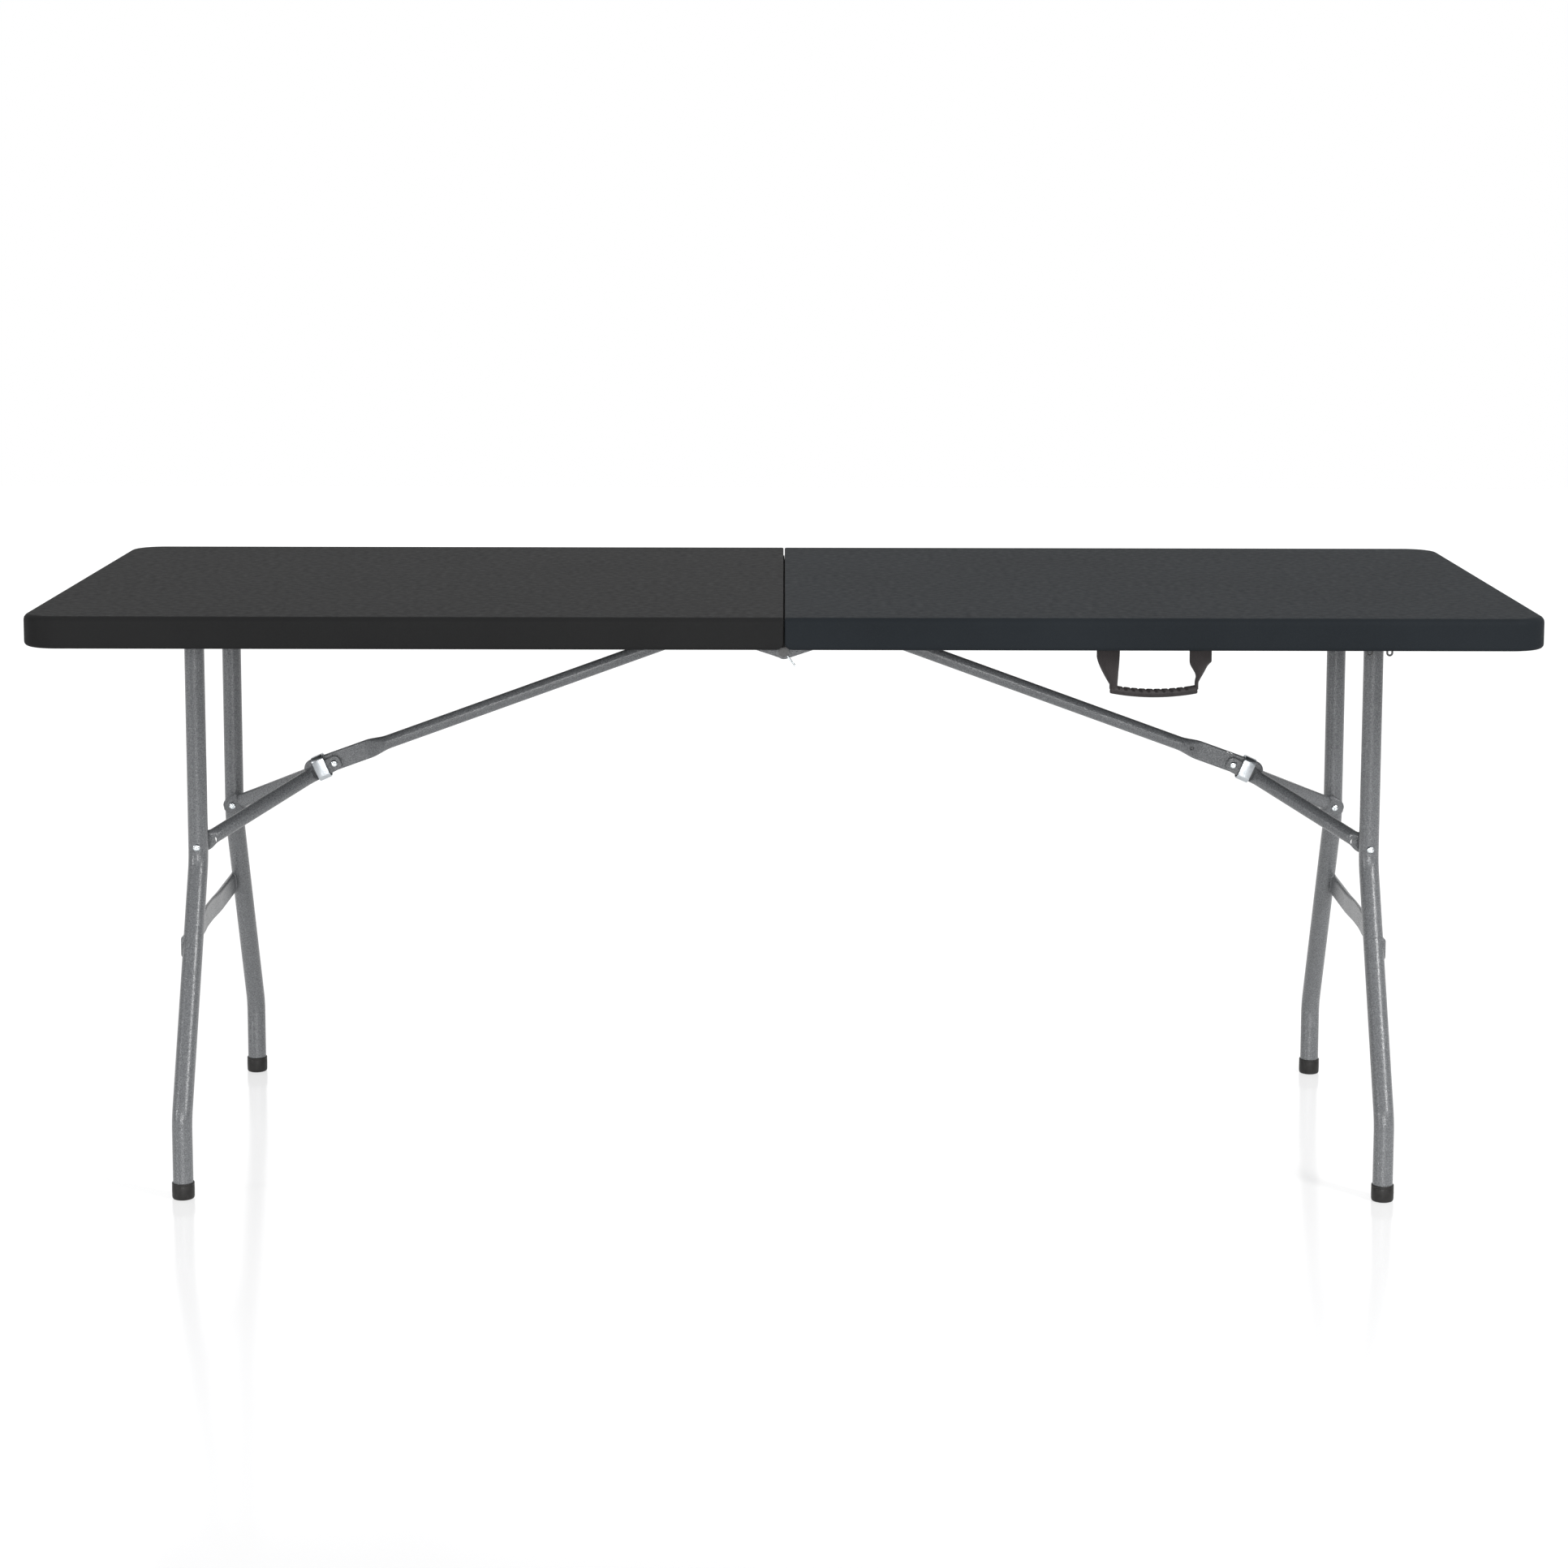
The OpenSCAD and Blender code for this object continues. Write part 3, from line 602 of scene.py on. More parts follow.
def seam_key(panel, low, high, grow):
    """Tongue along a half's seam, or with grow above 0 the groove for it, which keeps light out."""
    reach = KEY_REACH + grow
    half = high.y - KEY_FROM_ENDS + grow
    x_span = (low.x - 2 * MM, low.x + reach) if grow else (low.x - reach, low.x + 3 * MM)
    key = tapered_block(x_span, (-half, half), low.z + KEY_Z[0] - grow, high.z - KEY_Z[1] + grow,
                        0.1 * MM, 0.7 * MM)
    cut(panel, key, operation="DIFFERENCE" if grow else "UNION")


def half_panel(grow):
    """Right-hand half with the groove for the seam's tongue, or with grow 0 the tongue itself."""
    low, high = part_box("right_top_panel")
    core_z = high.z - CORE
    panel = panel_body(low, high)
    seam_key(panel, low, high, grow)
    cut(panel, recess(low, high))
    rail_y = abs(middle("right_rear_rail").y)
    hinge_y = abs(middle("right_rear_hinge_plate").y)
    notches = []
    for side in (-1, 1):
        y_span = sorted((side * (rail_y - HINGE_ROOM[0]), side * (hinge_y + HINGE_ROOM[1])))
        notches.append(tapered_block((low.x - 4 * CLEAR, low.x + LIP[0] + RECESS_SEAM_R), y_span,
                                     core_z - LIP[1] - 2 * MM, core_z, 0.3 * MM, 2 * MM))
    groove_end = abs(pivot("left_leg_fold").x) - GROOVE_X[1]
    groove = tapered_block((GROOVE_X[0], groove_end), (-GROOVE_HALF, GROOVE_HALF),
                           core_z - 1 * MM, core_z + GROOVE_DEEP, 1 * MM, 6 * MM)
    cut(panel, groove, *notches)
    cut(panel, kiss_offs(low, high, core_z))
    return panel


def tops():
    right = half_panel(KEY_GAP)
    right.name = "right_top_moulding"
    plain = half_panel(0.0)
    left = mirrored(plain, "left_top_moulding")
    bpy.data.objects.remove(plain)
    for side, piece in (("left", left), ("right", right)):
        shade(piece, PLASTIC[side], 40, weighted=True)
        settle(piece, side + "_half", "top_plastic", side + "_top_panel")


# ---- legs

LEG_R = 12.5 * MM
LEG_BEND_R = 60 * MM
BEND_Z = (395 * MM, 100 * MM)       # upper and lower bend
WELD_R = 1.5 * MM
PRESSED_THICK = 4.6 * MM
PRESSED_HALF, PRESSED_RAMP = 14 * MM, 60 * MM
PRESSED_GROWTH = 0.8 * MM
RIVET_RISE = 2 * MM


def leg_line():
    """Points (y, z) down the middle of a rear leg, from top to foot, and its lean between the bends."""
    top = pivot("left_leg_fold").z
    low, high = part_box("left_rear_leg")
    cap = middle("left_foot_caps").z
    top_y = low.y + LEG_R
    foot_y = high.y - LEG_R
    upper_z, lower_z = BEND_Z
    lean = math.atan2(foot_y - top_y, upper_z - lower_z)
    setback = LEG_BEND_R * math.tan(lean / 2)
    points = [(top_y, top)]
    points += bend((top_y + LEG_BEND_R, upper_z + setback), math.pi, lean, 10)
    points += bend((foot_y - LEG_BEND_R, lower_z - setback), 0.0, lean, 10, backwards=True)
    points.append((foot_y, cap * 0.4))
    return points, lean


def bend(centre, start, sweep, steps, backwards=False):
    """Points on a bend's arc, from its upper end to its lower one."""
    arc = []
    for k in range(steps + 1):
        a = start + sweep * k / steps
        arc.append((centre[0] + LEG_BEND_R * math.cos(a), centre[1] + LEG_BEND_R * math.sin(a)))
    return arc[::-1] if backwards else arc


def spread_out(points, step):
    """Extra points on the long stretches of a line, so that no stretch is much longer than step."""
    made = [Vector(points[0])]
    for a, b in zip(points, points[1:]):
        a, b = Vector(a), Vector(b)
        parts = max(1, round((b - a).length / step))
        made += [a.lerp(b, k / parts) for k in range(1, parts + 1)]
    return made


def tangents(line):
    found = []
    for i in range(len(line)):
        a, b = line[max(0, i - 1)], line[min(len(line) - 1, i + 1)]
        found.append((b - a).normalized())
    return found


def leg_tube(name, x):
    line, _ = leg_line()
    line = spread_out(line, 40 * MM)
    turns = [TURN * k / TUBE_SIDES for k in range(TUBE_SIDES)]
    rings = []
    for p, t in zip(line, tangents(line)):
        centre, across = Vector((x, p.x, p.y)), Vector((0, t.y, -t.x))
        rings.append([centre + Vector((LEG_R * math.cos(a), 0, 0)) + across * (LEG_R * math.sin(a))
                      for a in turns])
    return skin(name, rings)


BEAD_SIDES = 10
BEAD_LUMPS = 0.18


def bead(name, line, r, looped=True):
    """Weld bead along a line, a little lumpy."""
    turns = [TURN * k / BEAD_SIDES for k in range(BEAD_SIDES)]
    rings = []
    total = len(line)
    for i, p in enumerate(line):
        ahead = line[(i + 1) % total] if looped else line[min(i + 1, total - 1)]
        behind = line[i - 1] if looped or i else line[0]
        t = (ahead - behind).normalized()
        side = t.cross(Vector((0.31, 0.57, 0.76))).normalized()
        up = t.cross(side)
        size = r * (1 + BEAD_LUMPS * math.sin(i * 1.9) * math.cos(i * 0.7))
        if not looped:
            size *= ease(min(i, total - 1 - i) / 2 + 0.25)
        rings.append([p + (side * math.cos(a) + up * math.sin(a)) * size for a in turns])
    return skin(name, rings, looped)


def leg_y(z, lean):
    """Distance of a sloping leg's middle from the table's middle line at height z."""
    low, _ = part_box("left_rear_leg")
    return low.y + LEG_R + (BEND_Z[0] - z) * math.tan(lean)


def leg_top_weld(x):
    """Bead where a rear leg meets the pivot bar, which has the same radius."""
    top = pivot("left_leg_fold").z
    y0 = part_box("left_rear_leg")[0].y + LEG_R
    line = []
    for k in range(48):
        a = TURN * k / 48
        out, side = LEG_R * math.cos(a), LEG_R * math.sin(a)
        line.append(Vector((x + out, y0 + side, top - abs(side))))
    return bead("leg_top_weld", line, 1.4 * MM)


def rear_leg(name):
    """Leg tube coped onto the pivot bar, with its weld."""
    x, _, top = pivot("left_leg_fold")
    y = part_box("left_rear_leg")[0].y + LEG_R
    tube = leg_tube("tube", x)
    bar = lathe("bar", [(LEG_R, -40 * MM), (LEG_R, 40 * MM)],
                Matrix.Translation((x, y, top)) @ Matrix.Rotation(math.pi / 2, 4, "Z"), TUBE_SIDES)
    cut(tube, bar)
    return joined(name, [tube, leg_top_weld(x)])


def crossbar():
    """Flat-oval bar across a pair of legs, pressed flat in the middle and coped to the legs."""
    low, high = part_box("left_crossbar")
    z = (low.z + high.z) / 2
    thick, tall = high.x - low.x, high.z - low.z
    stations = [high.y * s / 24 for s in range(-24, 25)]
    stations += [s * (PRESSED_HALF + PRESSED_RAMP * k / 8) for s in (-1, 1) for k in range(9)]
    rings = []
    for y in sorted(set(round(s, 6) for s in stations)):
        full = ease((abs(y) - PRESSED_HALF) / PRESSED_RAMP)
        t = mix(PRESSED_THICK, thick, full)
        flat_tall = tall + PRESSED_GROWTH * (1 - full)
        place = Matrix.Translation((low.x + t / 2, y, z)) @ Matrix.Rotation(math.pi / 2, 4, "Z")
        rings.append(ring_of(place, stadium(t / 2, flat_tall / 2, 40)))
    bar = skin("bar", rings)
    x = pivot("left_leg_fold").x
    rear = leg_tube("rear", x)
    front = mirrored(rear, "front", TO_FRONT)
    cut(bar, rear, front)
    return bar


def crossbar_welds():
    """Bead round the crossbar where it runs into each leg."""
    low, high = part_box("left_crossbar")
    z = (low.z + high.z) / 2
    thick, tall = high.x - low.x, high.z - low.z
    x = pivot("left_leg_fold").x
    _, lean = leg_line()
    line = []
    for out, up in stadium(thick / 2, tall / 2, 60):
        off = low.x + thick / 2 + out - x
        if abs(off) < LEG_R - 0.15 * MM:
            y = leg_y(z + up, lean) - math.sqrt(LEG_R ** 2 - off ** 2) / math.cos(lean)
            line.append((math.atan2(up, out), Vector((x + off, y, z + up))))
    line.sort(key=lambda pair: pair[0])
    rear = bead("rear", [p for _, p in line], WELD_R, looped=False)
    return joined("welds", [rear, mirrored(rear, "front", TO_FRONT)])


# In from the cap's side, and up from the floor or down from the cap's top, in mm.
CAP_SOLE = [(5.6, 0.9), (5.0, 0), (2.6, 0), (1.2, 0.5), (0.45, 1.6), (0.15, 3.5)]
CAP_LIP = [(0.1, 3.6), (0.35, 3.2), (0.35, 2.9), (0.05, 2.5), (0.1, 1.0), (0.4, 0.3), (0.9, 0), (1.3, 0.2)]
CAP_CORE, CAP_FLOOR, CAP_DISH = 0.5 * MM, 3 * MM, 0.9 * MM
CAP_BORE = LEG_R + 0.02 * MM


def foot_caps():
    """Moulded caps with a soft lip round the tube and a shallow recess in the sole."""
    low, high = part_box("left_foot_caps")
    r = (high.x - low.x) / 2
    h = high.z - low.z
    profile = [(CAP_CORE, CAP_DISH), *((r - x * MM, z * MM) for x, z in CAP_SOLE), (r, h * 0.5),
               *((r - x * MM, h - z * MM) for x, z in CAP_LIP), (CAP_BORE, h - 0.8 * MM),
               (CAP_BORE, CAP_FLOOR), (CAP_CORE, CAP_FLOOR)]
    caps = []
    for y in (low.y + r, high.y - r):
        place = Matrix.Translation(((low.x + high.x) / 2, y, low.z)) @ UPRIGHT
        caps.append(lathe("cap", profile, place, 56))
    return joined("caps", caps)


# Radius and height over the face, in mm.
RIVET = [(4.6, -0.9), (4.6, 0.35), (4.4, 0.95), (3.9, 1.5), (3.1, 1.95), (2.3, 2.15), (1.7, 2.0),
         (1.4, 1.5), (1.1, 1.15), (0.15, 1.1)]


def rivet_head(x, y, z, facing):
    """Peened tubular rivet on a face at y, facing -1 to the front or 1 to the rear."""
    place = Matrix.Translation((x, y, z)) @ Matrix.Rotation(facing * math.pi / 2, 4, "Z")
    return lathe("rivet", [(r * MM, h * MM) for r, h in RIVET], place, 36)


def leg_frames():
    rear = rear_leg("left_rear_leg_tube")
    rivet = middle("left_leg_rivets")
    reach = extent("left_leg_rivets").y / 2 - RIVET_RISE
    heads = [rivet_head(rivet.x, s * reach, rivet.z, s) for s in (-1, 1)]
    both_ends("_leg_frame",
              (rear, "rear_leg_tube", PAINT, "steel_paint", "rear_leg"),
              (mirrored(rear, "front", TO_FRONT), "front_leg_tube", PAINT, "steel_paint", "front_leg"),
              (crossbar(), "crossbar_tube", PAINT, "steel_paint", "crossbar"),
              (crossbar_welds(), "crossbar_welds", PAINT, "steel_paint", None),
              (foot_caps(), "foot_cap_pair", CAP, "cap_plastic", "foot_caps"),
              (joined("heads", heads), "leg_rivet_heads", ZINC, "zinc", "leg_rivets"))


def both_ends(body, *pieces):
    """Mirrors left-hand pieces. Each comes with its name, material, slot and the CAD node it stands for."""
    for left, part, material, slot, node in pieces:
        left.name = "left_" + part
        right = mirrored(left, "right_" + part)
        for side, piece in (("left", left), ("right", right)):
            shade(piece, material, 38)
            settle(piece, side + body, slot, *([side + "_" + node] if node else []))


# ---- braces, forks and rings

BRACE_R = 9 * MM
BRACE_SIDES = 48
PLATE = (5 * MM, 25 * MM)
KNEE_OFFSET = 2 * MM
TAIL = 41 * MM
FLAT_END = 48 * MM
TUBE_START = 77 * MM
SLEEVE_R = 8.5 * MM
SLEEVE_HALF = 18 * MM
SLEEVE_BORE = 5.06 * MM
SLEEVE_CHAMFER = 0.6 * MM
HOLE_AT = 10 * MM                   # past the flat end
HOLE = [(2, 1), (2, 4.3), (3.6, 6.5), (3.6, 9)]    # radius and depth, in mm


def brace_place():
    """Frame at the knee rivet with local +X along the left brace, and the brace's length from there."""
    knee, far = pivot("left_knee_bend"), pivot("left_brace_swing")
    length = math.hypot(far.x - knee.x, far.z - knee.z)
    angle = slope(knee, far) - math.asin(KNEE_OFFSET / length)
    return in_plane(knee, angle), math.sqrt(length ** 2 - KNEE_OFFSET ** 2)


def brace_section(x):
    """Half thickness and half width of the brace at x from the knee rivet: plate, shoulder, then tube."""
    opened = share(x, FLAT_END, TUBE_START)
    return mix(PLATE[0] / 2, BRACE_R, swell(opened)), mix(PLATE[1] / 2, BRACE_R, ease(opened))


def brace(name, with_hole):
    """Left brace: rounded plate at the knee, shoulder, tube, and the sleeve at the cross rod."""
    place, reach = brace_place()
    axis = place @ Matrix.Translation((0, 0, KNEE_OFFSET))
    end_r = PLATE[1] / 2
    rings = []
    for k in range(9):
        a = math.radians(12 + 78 * k / 8)
        b = end_r * math.sin(a)
        section = stadium(min(PLATE[0] / 2, b), b, BRACE_SIDES)
        rings.append(ring_of(axis, section, -TAIL + end_r - end_r * math.cos(a)))
    x = -TAIL + end_r + 8 * MM
    while x < FLAT_END:
        rings.append(ring_of(axis, stadium(PLATE[0] / 2, end_r, BRACE_SIDES), x))
        x += 8 * MM
    steps = 20
    for k in range(steps + 1):
        x = mix(FLAT_END, TUBE_START, k / steps)
        rings.append(ring_of(axis, stadium(*brace_section(x), BRACE_SIDES), x))
    for k in range(1, 11):
        x = mix(TUBE_START, reach - 2 * MM, k / 10)
        rings.append(ring_of(axis, circle(BRACE_R, BRACE_SIDES), x))
    tube = skin("tube", rings)
    across = axis @ Matrix.Translation((reach, 0, 0)) @ Matrix.Rotation(math.pi / 2, 4, "Z")
    cutters = [lathe("bore", [(SLEEVE_R, -30 * MM), (SLEEVE_R, 30 * MM)], across, TUBE_SIDES)]
    if with_hole:
        spot = Matrix.Translation((FLAT_END + HOLE_AT, 0, 0))
        drill = axis @ spot @ Matrix.Rotation(-math.pi / 2, 4, "Z")
        cutters.append(lathe("hole", [(r * MM, h * MM) for r, h in HOLE], drill, 28))
    cut(tube, *cutters)
    return joined(name, [tube, sleeve(across)])


def sleeve(across):
    """Sleeve that turns on the cross rod."""
    half, outer, bore, chamfer = SLEEVE_HALF, SLEEVE_R, SLEEVE_BORE, SLEEVE_CHAMFER
    profile = [(bore, -half + chamfer), (bore + chamfer, -half),
               (outer - chamfer, -half), (outer, -half + chamfer),
               (outer, half - chamfer), (outer - chamfer, half),
               (bore + chamfer, half), (bore, half - chamfer)]
    rings = [ring_of(across, circle(r), along) for r, along in profile]
    return skin("sleeve", rings, looped=True)


ARM_R = 9.5 * MM
ARM_TAB = (2 * MM, 10 * MM)         # half thickness and half width, as for the foot
ARM_FOOT = (2 * MM, 12.5 * MM)
ARM_TAB_Y = 4.8 * MM
ARM_NEAREST_Y = 2.8 * MM
ARM_BEND_X, ARM_BEND_R = 31.2 * MM, 9 * MM
ARM_SPREAD = math.radians(43.7)
ARM_OPENS = (37 * MM, 55 * MM)      # along the arm, from the tab's end
ARM_CLOSES = (21 * MM, 33 * MM)     # along the arm, from the foot's end


def fillet_line(points, radius, steps=8):
    """Line through points with its inner corners rounded off."""
    points = [Vector(p) for p in points]
    line = [points[0]]
    for a, p, b in zip(points, points[1:], points[2:]):
        u, v = (a - p).normalized(), (b - p).normalized()
        turn = math.pi - u.angle(v)
        back = radius * math.tan(turn / 2)
        start, end = p + u * back, p + v * back
        line += [start.lerp(p, t).lerp(p.lerp(end, t), t) for t in [k / steps for k in range(steps + 1)]]
    line.append(points[-1])
    return line


def arm_section(gone, left_over):
    """Half thickness and half width of an arm, from the distances to its tab's and its foot's end."""
    if gone < left_over:
        opened = share(gone, *ARM_OPENS)
        half_t, half_w = mix(ARM_TAB[0], ARM_R, swell(opened)), mix(ARM_TAB[1], ARM_R, ease(opened))
    else:
        opened = share(left_over, *ARM_CLOSES)
        half_t, half_w = mix(ARM_FOOT[0], ARM_R, swell(opened)), mix(ARM_FOOT[1], ARM_R, ease(opened))
    for distance, radius in ((gone, ARM_TAB[1]), (left_over, ARM_FOOT[1])):
        if distance < radius:
            half_w = min(half_w, math.sqrt(max(0.0, radius ** 2 - (radius - distance) ** 2)) + 0.25 * MM)
    return min(half_t, half_w), half_w


def arm(name):
    """Rear arm of the fork: tab at the knee, tube, then a foot at the leg."""
    knee = pivot("left_knee_bend")
    rest = middle("left_fork_rivets")
    angle = slope(knee, rest)
    length = math.hypot(rest.x - knee.x, rest.z - knee.z)
    place = in_plane(knee, angle)
    foot_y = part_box("left_fork_rivets")[1].y - ARM_FOOT[0]
    points = [(-ARM_TAB[1], ARM_TAB_Y), (ARM_BEND_X, ARM_TAB_Y),
              (ARM_BEND_X + (foot_y - ARM_TAB_Y) / math.tan(ARM_SPREAD), foot_y),
              (length + ARM_FOOT[1], foot_y)]
    line = spread_out(fillet_line(points, ARM_BEND_R), 2 * MM)
    total = sum((b - a).length for a, b in zip(line, line[1:]))
    gone = 0.0
    rings = []
    for i, (p, t) in enumerate(zip(line, tangents(line))):
        if i:
            gone += (p - line[i - 1]).length
        half_t, half_w = arm_section(gone, total - gone)
        y = min(max(p.y, ARM_NEAREST_Y + half_t * t.x), foot_y + ARM_FOOT[0] - half_t * t.x)
        centre = Vector((p.x, y))
        rings.append([place @ Vector((centre.x - t.y * c, centre.y + t.x * c, z))
                      for c, z in stadium(half_t, half_w)])
    return skin(name, rings)


RING_TILT = math.radians(4)
RING_HALF = 8 * MM
RING_WALL = 1.5 * MM
RING_CORNER = 6 * MM
RING_EDGE = 0.5 * MM
RING_GAP = 0.25 * MM


def lock_ring(name):
    """Rolled strip round the knee joint, its ends butted together at the back."""
    low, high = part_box("left_lock_ring")
    knee, far = pivot("left_knee_bend"), pivot("left_brace_swing")
    angle = slope(knee, far) - math.asin(KNEE_OFFSET / (far - knee).length) + RING_TILT
    place = in_plane((low + high) / 2, angle)
    half_y = (high.y - low.y) / 2 - RING_WALL
    length_in_z = abs(math.sin(angle)) * 2 * RING_HALF
    half_z = (high.z - low.z - length_in_z) / math.cos(angle) / 2 - RING_WALL
    section = [(RING_HALF, RING_EDGE), (RING_HALF - RING_EDGE * 0.3, RING_EDGE * 0.3),
               (RING_HALF - RING_EDGE, 0.0)]
    section += [(-x, g) for x, g in reversed(section)]
    section += [(x, RING_WALL - g) for x, g in reversed(section)]
    stations = []
    for sy, sz, start in QUADRANTS:
        centre = Vector((sy * (half_y - RING_CORNER), sz * (half_z - RING_CORNER)))
        for k in range(8):
            a = math.radians(start + 90 * k / 7)
            stations.append((centre, Vector((math.cos(a), math.sin(a)))))
    seam, gap, back = Vector((half_y - RING_CORNER, 0)), Vector((0, RING_GAP)), Vector((1, 0))
    stations = [(seam + gap, back), *stations, (seam - gap, back)]
    rings = []
    for centre, way in stations:
        rings.append([place @ Vector((x, *(centre + way * (RING_CORNER + g)))) for x, g in section])
    return skin(name, rings)


HIGHLIGHT_SPOT_RAISED = 0.25 * MM
HIGHLIGHT_SPOT_TURNS = [TURN * k / 10 for k in range(10)]


def highlight_spot(name, place, length, width):
    """Long raised spot of bright metal, a painted highlight, in the local X-Z plane of place."""
    rings = []
    for k in range(9):
        t = -1 + 2 * k / 8
        half = max(0.06, math.sqrt(1 - t * t))
        thick, wide = HIGHLIGHT_SPOT_RAISED * half, width / 2 * half
        rings.append([place @ Vector((t * length / 2, -thick * math.sin(a), wide * math.cos(a)))
                      for a in HIGHLIGHT_SPOT_TURNS])
    return skin(name, rings)


def fork_highlight_spots(name):
    """Painted highlights on the front of both arms, by the legs, made as small spots of bright metal."""
    knee, rest = pivot("left_knee_bend"), middle("left_fork_rivets")
    angle = slope(rest, knee)
    place = in_plane(rest, angle)
    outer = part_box("left_fork_rivets")[1].y
    front, rear = (place @ Matrix.Translation((x, y, z)) @ Matrix.Rotation(turn, 4, "Y")
                   for x, y, z, turn in ((20.5 * MM, -outer, -4.5 * MM, 1.9),
                                         (21 * MM, outer - 2 * ARM_FOOT[0], -7 * MM, 0.15)))
    return joined(name, [highlight_spot("front", front, 6 * MM, 2.2 * MM), highlight_spot("rear", rear, 7 * MM, 1.6 * MM)])


def brace_highlight_spots(name):
    """Painted highlights along the upper edge of the right brace's plate, made as small spots of bright
    metal.
    """
    place, _ = brace_place()
    marks = [highlight_spot("mark", place @ Matrix.Translation((x * MM, -PLATE[0] / 2, 13 * MM)), 3.6 * MM, 1 * MM)
             for x in (7, 12)]
    left = joined("left", marks)
    right = mirrored(left, name)
    bpy.data.objects.remove(left)
    return right


def linkages():
    knee = pivot("left_knee_bend")
    left_brace = brace("left_brace_tubing", False)
    plain = brace("plain", True)
    right_brace = mirrored(plain, "right_brace_tubing")
    bpy.data.objects.remove(plain)
    for side, piece in (("left", left_brace), ("right", right_brace)):
        shade(piece, PAINT, 38)
        settle(piece, side + "_brace_tube", "steel_paint", side + "_brace")
    out = extent("left_knee_rivet").y / 2 - RIVET_RISE
    knee_heads = joined("heads", [rivet_head(knee.x, s * out, knee.z, s) for s in (-1, 1)])
    both_ends("_brace_tube", (knee_heads, "knee_rivet_heads", ZINC, "zinc", "knee_rivet"))
    rear = arm("rear")
    rest = middle("left_fork_rivets")
    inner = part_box("left_fork_rivets")[1].y - 2 * ARM_FOOT[0]
    fork_heads = joined("heads", [rivet_head(rest.x, s * inner, rest.z, -s) for s in (-1, 1)])
    both_ends("_fork",
              (rear, "rear_arm_tube", PAINT, "steel_paint", "rear_arm"),
              (mirrored(rear, "front", TO_FRONT), "front_arm_tube", PAINT, "steel_paint", "front_arm"),
              (fork_heads, "fork_rivet_heads", ZINC, "zinc", "fork_rivets"))
    both_ends("_ring", (lock_ring("band"), "lock_band", BAND_ZINC, "zinc", "lock_ring"))
    # Small bright metal spots on the arms and on the right brace's plate are painted highlights.
    both_ends("_fork", (fork_highlight_spots("highlight_spots"), "arm_painted_glint_marks", HIGHLIGHT_METAL, "zinc", None))
    settle(shade(brace_highlight_spots("right_plate_painted_glint_marks"), HIGHLIGHT_METAL), "right_brace_tube", "zinc")


# ---- handle

GRIP_NOTCH_PITCH = 9.2 * MM
GRIP_NOTCH_SLANT = 3.0 * MM
GRIP_NOTCH_DEEP = 1.7 * MM
GRIP_END_R = 2.2 * MM


def handle_frame():
    """X of the handle's middle, the point its swing turns about, and the grip's box."""
    low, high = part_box("handle_grip")
    swing = pivot("handle_swing")
    return (low.x + high.x) / 2, swing, low, high


def grip():
    """Sagging moulded grip with slanted finger notches along its upper side."""
    mid_x, swing, low, high = handle_frame()
    r = (high.y - low.y) / 2
    half = (high.x - low.x) / 2
    sag = (high.z - low.z) - 2 * r
    rings = []
    steps, count = 220, 40
    for i in range(steps + 1):
        t = -1 + 2 * i / steps
        x = mid_x + half * t
        z = low.z + r + sag * t * t
        end = share((1 - abs(t)) * half, 0.0, GRIP_END_R)
        size = r * (0.72 + 0.28 * math.sqrt(max(0.0, 1 - (1 - end) ** 2)))
        lean = math.atan2(2 * sag * t, half)
        ring = []
        for k in range(count):
            a = TURN * k / count
            slanted = (x - mid_x) + GRIP_NOTCH_SLANT * math.sin(a)
            wave = 0.5 + 0.5 * math.cos(TURN * slanted / GRIP_NOTCH_PITCH)
            top = ease((math.cos(a) - 0.15) / 0.5)
            inside = ease((0.86 - abs(t)) / 0.05)
            r_here = size - GRIP_NOTCH_DEEP * ease((wave - 0.55) / 0.3) * top * inside
            up = r_here * math.cos(a)
            ring.append(Vector((x - up * math.sin(lean), swing.y + r_here * math.sin(a),
                                z + up * math.cos(lean))))
        rings.append(ring)
    return skin("handle_grip_moulding", rings)


STRAP_WIDE = 28 * MM
STRAP_THICK = 1.5 * MM
STRAP_WAVE = 0.6 * MM
STRAP_HANGS_BY = 20 * MM            # depth below the rim at which its waves are full


def strap_edges(down, side):
    """Outer and inner edge of a strap, from the handle's middle, at a depth below the rim. It narrows
    as it gathers towards the grip. The numbers are in mm."""
    d = down / MM
    if side < 0:
        outer = mix(68.6, 52.5, share(d, 9, 43) ** 1.3)
        inner = mix(41.2, 44, share(d, 0, 42) ** 1.5)
    else:
        gather = ease(share(d, 14, 34)) - 0.15 * ease(share(d, 33, 41))
        outer = mix(68.9, 53, share(d, 16, 40) ** 0.8)
        inner = mix(43.1, 51, gather)
    return outer * MM, inner * MM


def roll_for(width):
    """Angle the webbing is rolled through so that it looks that wide."""
    if width < STRAP_WIDE * 2 / math.pi:
        return min(5.9, 2 * STRAP_WIDE / width)
    low, high = 0.05, math.pi
    for _ in range(30):
        turn = (low + high) / 2
        if math.sin(turn / 2) / (turn / 2) * STRAP_WIDE > width:
            low = turn
        else:
            high = turn
    return low


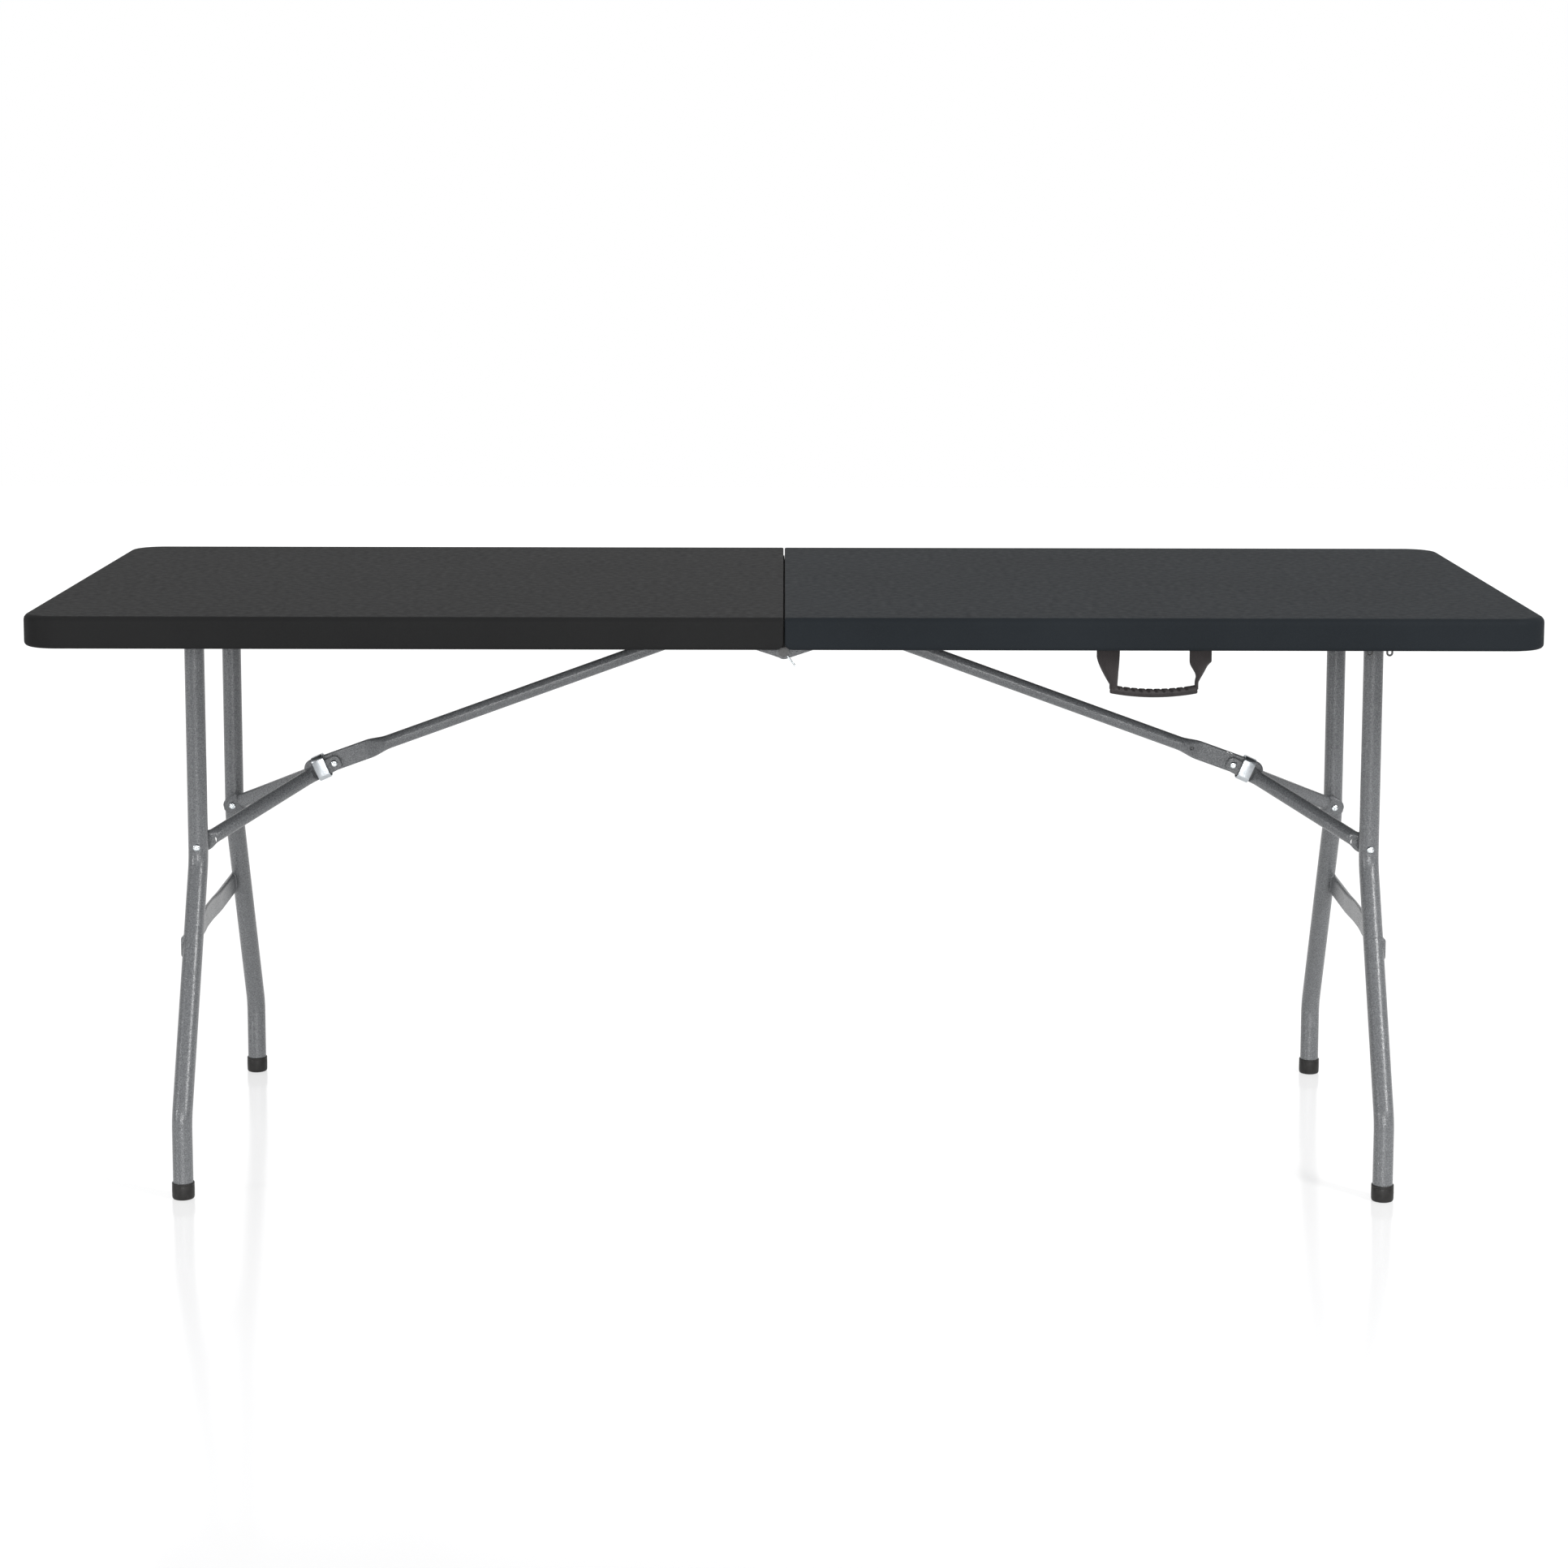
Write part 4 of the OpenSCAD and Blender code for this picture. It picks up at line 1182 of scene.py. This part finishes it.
def strap(name, side):
    """Webbing strap, flat at the rim and rolled up where it enters the grip. side is -1 left or 1 right."""
    mid_x, swing, low, high = handle_frame()
    rim_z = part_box("right_top_panel")[0].z
    top_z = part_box("handle_left_root")[1].z
    low_z = high.z - (high.y - low.y) / 2
    rows, columns = 56, 24
    points, cloth = [], []
    for i in range(rows + 1):
        z = mix(top_z, low_z, i / rows)
        outer, inner = strap_edges(rim_z - z, side)
        width = min(outer - inner, STRAP_WIDE)
        rolled = roll_for(width)
        radius = STRAP_WIDE / rolled
        seen = 2 * radius * math.sin(min(rolled, math.pi) / 2)
        hanging = ease((rim_z - z) / STRAP_HANGS_BY)
        for j in range(columns + 1):
            u = j / columns - 0.5
            a = u * rolled
            across = radius * math.sin(a) * width / seen
            depth = radius * (1 - math.cos(a)) - radius * (1 - math.cos(rolled / 2)) * 0.45
            depth += STRAP_WAVE * math.sin(7 * u + 5 * i / rows + side) * hanging
            points.append(Vector((mid_x + side * ((outer + inner) / 2 + across), swing.y + depth, z)))
            cloth.append((u * STRAP_WIDE, top_z - z, 0.0))
    step = columns + 1
    faces = [(i * step + j, i * step + j + 1, (i + 1) * step + j + 1, (i + 1) * step + j)
             for i in range(rows) for j in range(columns)]
    obj = mesh_object(name, points, faces)
    store = obj.data.attributes.new("cloth", "FLOAT_VECTOR", "POINT")
    store.data.foreach_set("vector", [c for triple in cloth for c in triple])
    shell = obj.modifiers.new("thickness", "SOLIDIFY")
    shell.thickness = STRAP_THICK
    shell.offset = 0
    apply_modifiers(obj)
    shade(obj, WEBBING, 50)
    return obj, top_z - low_z


def handle():
    piece = shade(grip(), GRIP, 45)
    settle(piece, "handle", "grip_plastic", "handle_grip")
    for side, word in ((-1, "left"), (1, "right")):
        webbing, length = strap("handle_" + word + "_webbing", side)
        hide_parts("handle_" + word + "_strap", "handle_" + word + "_root")
        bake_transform(webbing)


# ---- hardware that keeps its CAD shape


def hardware():
    """Softens and finishes the CAD nodes that keep their shape. Widths are in mm."""
    paired = ((0.5, PAINT, ("front_rail", "rear_rail", "front_hinge_plate", "rear_hinge_plate")),
              (0.3, ZINC, ("rail_screws", "cross_rod")),
              (0.4, PAINT, ("pivot_bar",)))
    single = ((0.5, DARK, ("front_hinge_pin", "rear_hinge_pin")),
              (0.1, ZINC, ("hinge_split_pins",)),
              (0.3, ZINC, ("handle_anchors", "closure_bracket", "closure_keepers")),
              (0.1, DARK, ("closure_hooks",)))
    plan = [(width, material, side + "_" + part) for width, material, parts in paired
            for part in parts for side in SIDES]
    plan += [(width, material, node) for width, material, nodes in single for node in nodes]
    for width, material, node in plan:
        shade(soften(node, width * MM), material, 30)


# ---- stage, camera and light

FLOOR_NEAR, FLOOR_FAR, FLOOR_HALF = -2.1, 9.0, 6.0
FLOOR_HAZE = 0.8
LENS_MM, SENSOR_MM, SHIFT_UP = 78.9, 36, -0.1118
CAMERA_AT = (0, -4.4373, 1.2795)
TILT_DOWN, ROLL = 0.1299, 0.0019


def add_floor():
    corners = [(x, y, 0) for y in (FLOOR_NEAR, FLOOR_FAR) for x in (-FLOOR_HALF, FLOOR_HALF)]
    floor = mesh_object("floor", corners, [(0, 1, 3, 2)])
    f = Finish("floor_sheet")
    haze = f.noise(FLOOR_HAZE, 2)
    colour = f.ramp(haze, (0.3, grey(0.304)), (0.7, grey(0.306)))
    floor.data.materials.append(f.set(Base_Color=colour, Roughness=0.14, Specular_IOR_Level=0.6,
                                      Emission_Color=(1, 1, 1, 1), Emission_Strength=0.64))


def add_camera():
    data = bpy.data.cameras.new("camera")
    data.lens = LENS_MM
    data.sensor_width = SENSOR_MM
    data.shift_y = SHIFT_UP
    data.dof.use_dof = False
    camera = link("camera", data)
    camera.matrix_world = (Matrix.Translation(CAMERA_AT) @ Matrix.Rotation(math.pi / 2 - TILT_DOWN, 4, "X")
                           @ Matrix.Rotation(ROLL, 4, "Z"))
    bpy.context.scene.camera = camera


LIGHTS_AIM = Vector((0, 0, 0.5))


def softbox(name, azimuth, elevation, distance, size, power):
    """Area light on a sphere round the table; azimuth turns from the front towards +X."""
    a, e = math.radians(azimuth), math.radians(elevation)
    way = Vector((math.sin(a) * math.cos(e), -math.cos(a) * math.cos(e), math.sin(e)))
    data = bpy.data.lights.new(name, "AREA")
    data.shape = "RECTANGLE"
    data.size, data.size_y = size
    data.energy = power
    light = link(name, data)
    light.location = LIGHTS_AIM + way * distance
    light.rotation_euler = way.to_track_quat("Z", "Y").to_euler()


def mixed(tree, factor, first, second):
    """Mix of two shader nodes, the second where factor is 1."""
    mixer = add_node(tree, "MixShader")
    for socket, value in zip(mixer.inputs, (factor, first.outputs[0], second.outputs[0])):
        plug(tree, socket, value)
    return mixer


def add_world(camera_level, low, side, high, backdrop):
    """White to the camera. As light: a bright backdrop behind the table, and before it a room that is
    dim low down, brighter at the sides and bright above."""
    world = bpy.data.worlds.new("world")
    world.use_nodes = True
    bpy.context.scene.world = world
    tree = world.node_tree
    tree.nodes.clear()
    way = add_node(tree, "SeparateXYZ", Vector=add_node(tree, "TexCoord").outputs["Generated"])
    height = add_node(tree, "ValToRGB", Fac=way.outputs["Z"])
    stops = height.color_ramp.elements
    stops.new(0.25)
    for stop, (position, level) in zip(stops, ((0.0, low), (0.2, side), (0.8, high))):
        stop.position = position
        stop.color = (level, level, level * 1.03, 1)
    behind = add_node(tree, "MapRange", Value=way.outputs["Y"], From_Min=0.1, From_Max=0.5)
    shown, back = (add_node(tree, "Background", Color=(level,) * 3) for level in (camera_level, backdrop))
    room = mixed(tree, behind.outputs[0], add_node(tree, "Background", Color=height.outputs[0]), back)
    both = mixed(tree, add_node(tree, "LightPath").outputs["Is Camera Ray"], room, shown)
    add_node(tree, "OutputWorld", Surface=both.outputs[0])


def studio():
    bpy.context.scene.view_settings.view_transform = "Standard"
    add_world(camera_level=1.0, low=0.22, side=0.40, high=0.50, backdrop=0.9)
    softbox("key", 47, 33, 4.5, (0.5, 2.2), 120)
    softbox("left_fill", -60, 9, 4.5, (0.4, 0.7), 36)
    softbox("front", 0, 9, 6.0, (3.2, 1.0), 170)


add_camera()
studio()
add_floor()
tops()
leg_frames()
linkages()
handle()
hardware()
